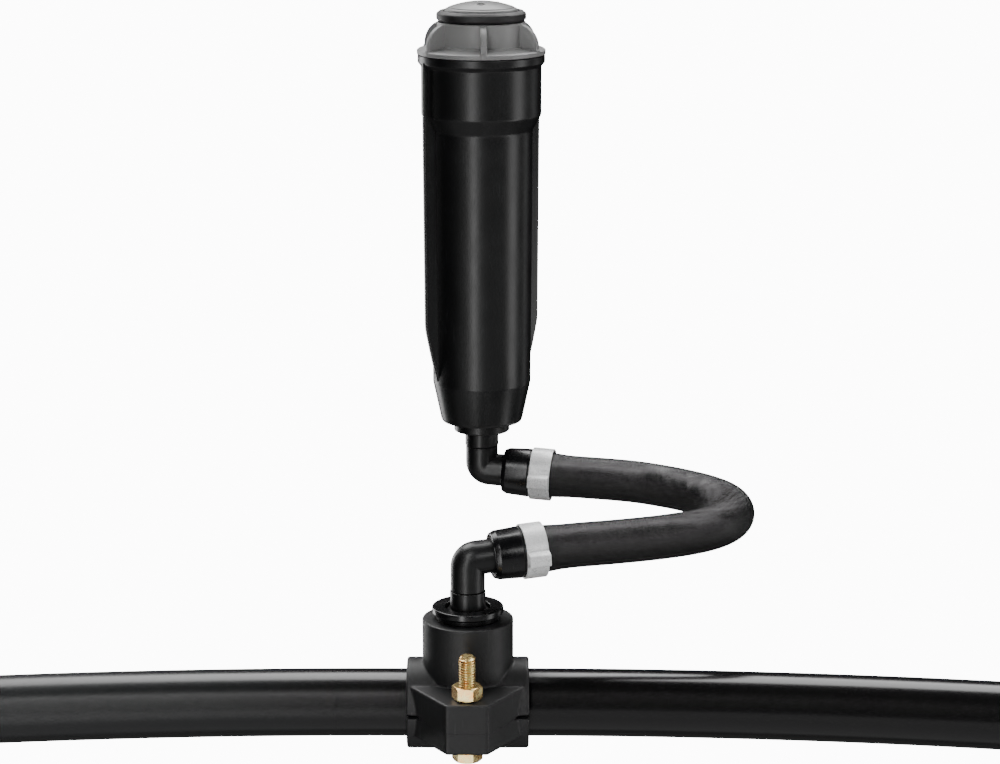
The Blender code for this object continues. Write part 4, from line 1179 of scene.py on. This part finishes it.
def turret():
    """The turning top of the riser, with a port in its side for the nozzle."""
    outline = [
        (17.0, 335.6, 0.5),
        (17.0, 290.0, 0.5),
        (14.9, 290.0, 0),
        (14.9, 283.7, 0.3),
        (5.0, 283.7, 0),
        (5.0, 286.0, 0),
        (13.0, 286.0, 0),
        (13.0, 292.0, 0),
        (14.5, 294.0, 0),
        (14.5, 335.6, 0.3),
    ]
    port = moved(rod(4.6, 12.0, 19.0, (-NOZZLE_Z, 0.0), 64, "X"), radial(0.0))
    mesh = moved(cut(lathe(outline, 128), port), at(*AXIS))
    piece("turret_body", mesh, "turret", "black_plastic", ["nozzle_turret"])
    jet = lathe([(4.3, 16.4, 0.3), (4.3, 9.5, 0.2), (1.9, 9.5, 0), (1.9, 13.0, 0.3), (2.8, 16.4, 0.3)], 64)
    jet.transform(at(*AXIS, NOZZLE_Z) @ Matrix.Rotation(math.pi / 2, 4, "X"))
    piece("nozzle_jet", jet, "turret", "grey_plastic", ["nozzle"])


def lid():
    """Low dome with a stepped rim; two holes give a key the way to the adjusting screws."""
    ring, fall = 16.2, 3.4 / 17.3**2
    dome = [(ring * k / 12, CROWN_Z - fall * (ring * k / 12) ** 2, 0) for k in range(13)]
    outline = dome + [
        (ring + 0.1, CROWN_Z - fall * ring**2 - 0.35, 0.1),
        (17.6, 339.3, 0.5),
        (18.2, 338.4, 0.5),
        (18.2, 335.9, 0.3),
        (14.2, 335.9, 0),
        (14.2, 331.0, 0.2),
        (12.8, 331.0, 0.2),
        (12.8, 336.4, 0),
        (0.0, 338.4, 0),
    ]
    holes = [rod(KEY_HOLE_R, 330.0, 345.0, hole, 40) for hole in (RADIUS_SCREW_AT, ARC_SCREW_AT)]
    mesh = moved(cut(lathe(outline, 128), *holes), at(*AXIS))
    piece("lid_turret", mesh, "turret", "grey_plastic", ["turret_lid"], finish=LID_PLASTIC)


def key_screw(name, body, node, hole, low, top):
    """An adjusting screw: its head fills the lid's hole nearly flush, and has a slot for the key."""
    head_r, shank_r, head_deep, slot_deep = 1.9, 1.65, 1.4, 0.7
    outline = [
        (0, top, 0),
        (head_r, top, 0.25),
        (head_r, top - head_deep, 0),
        (shank_r, top - head_deep - 0.1, 0),
        (shank_r, low, 0.3),
        (0, low, 0),
    ]
    slot = block((-1.3, -0.22, top - slot_deep), (1.3, 0.22, top + 1.0))
    mesh = moved(cut(lathe(outline, 48), slot), at(AXIS[0] + hole[0], AXIS[1] + hole[1]))
    piece(name, mesh, body, "grey_plastic", [node], finish=LID_PLASTIC)


# ---- inner works ----


def finish_inner_works():
    """Every CAD node that stays takes the finish of its slot in the record."""
    for part in frame["record"]["subparts"]:
        for slot in frame["nodes"][part["node"]].material_slots:
            slot.material = FINISHES[part["material_slot"]]


# ---- all the pieces ----

supply_pipe()
saddle()
saddle_fastener("front", -1)
saddle_fastener("rear", 1)
reducer_bush()
nipple("nipple_lower", LOWER, "saddle", "lower_nipple")
nipple("nipple_upper", UPPER, "head", "upper_nipple")
elbow("elbow_lower", LOWER, "lower_elbow")
elbow("elbow_upper", UPPER, "upper_elbow")
cuff("cuff_lower", LOWER, "lower_hose_cuff")
cuff("cuff_upper", UPPER, "upper_hose_cuff")
clamp("clamp_lower", LOWER, "lower_hose_clamp")
clamp("clamp_upper", UPPER, "upper_hose_clamp")
case()
cap()
wiper()
cap_seal()
spring()
riser()
turret()
lid()
key_screw("screw_radius", "radius_screw", "radius_screw", RADIUS_SCREW_AT, 326.8, 341.9)
key_screw("screw_arc", "arc_screw", "arc_screw", ARC_SCREW_AT, 300.0, 342.0)
finish_inner_works()
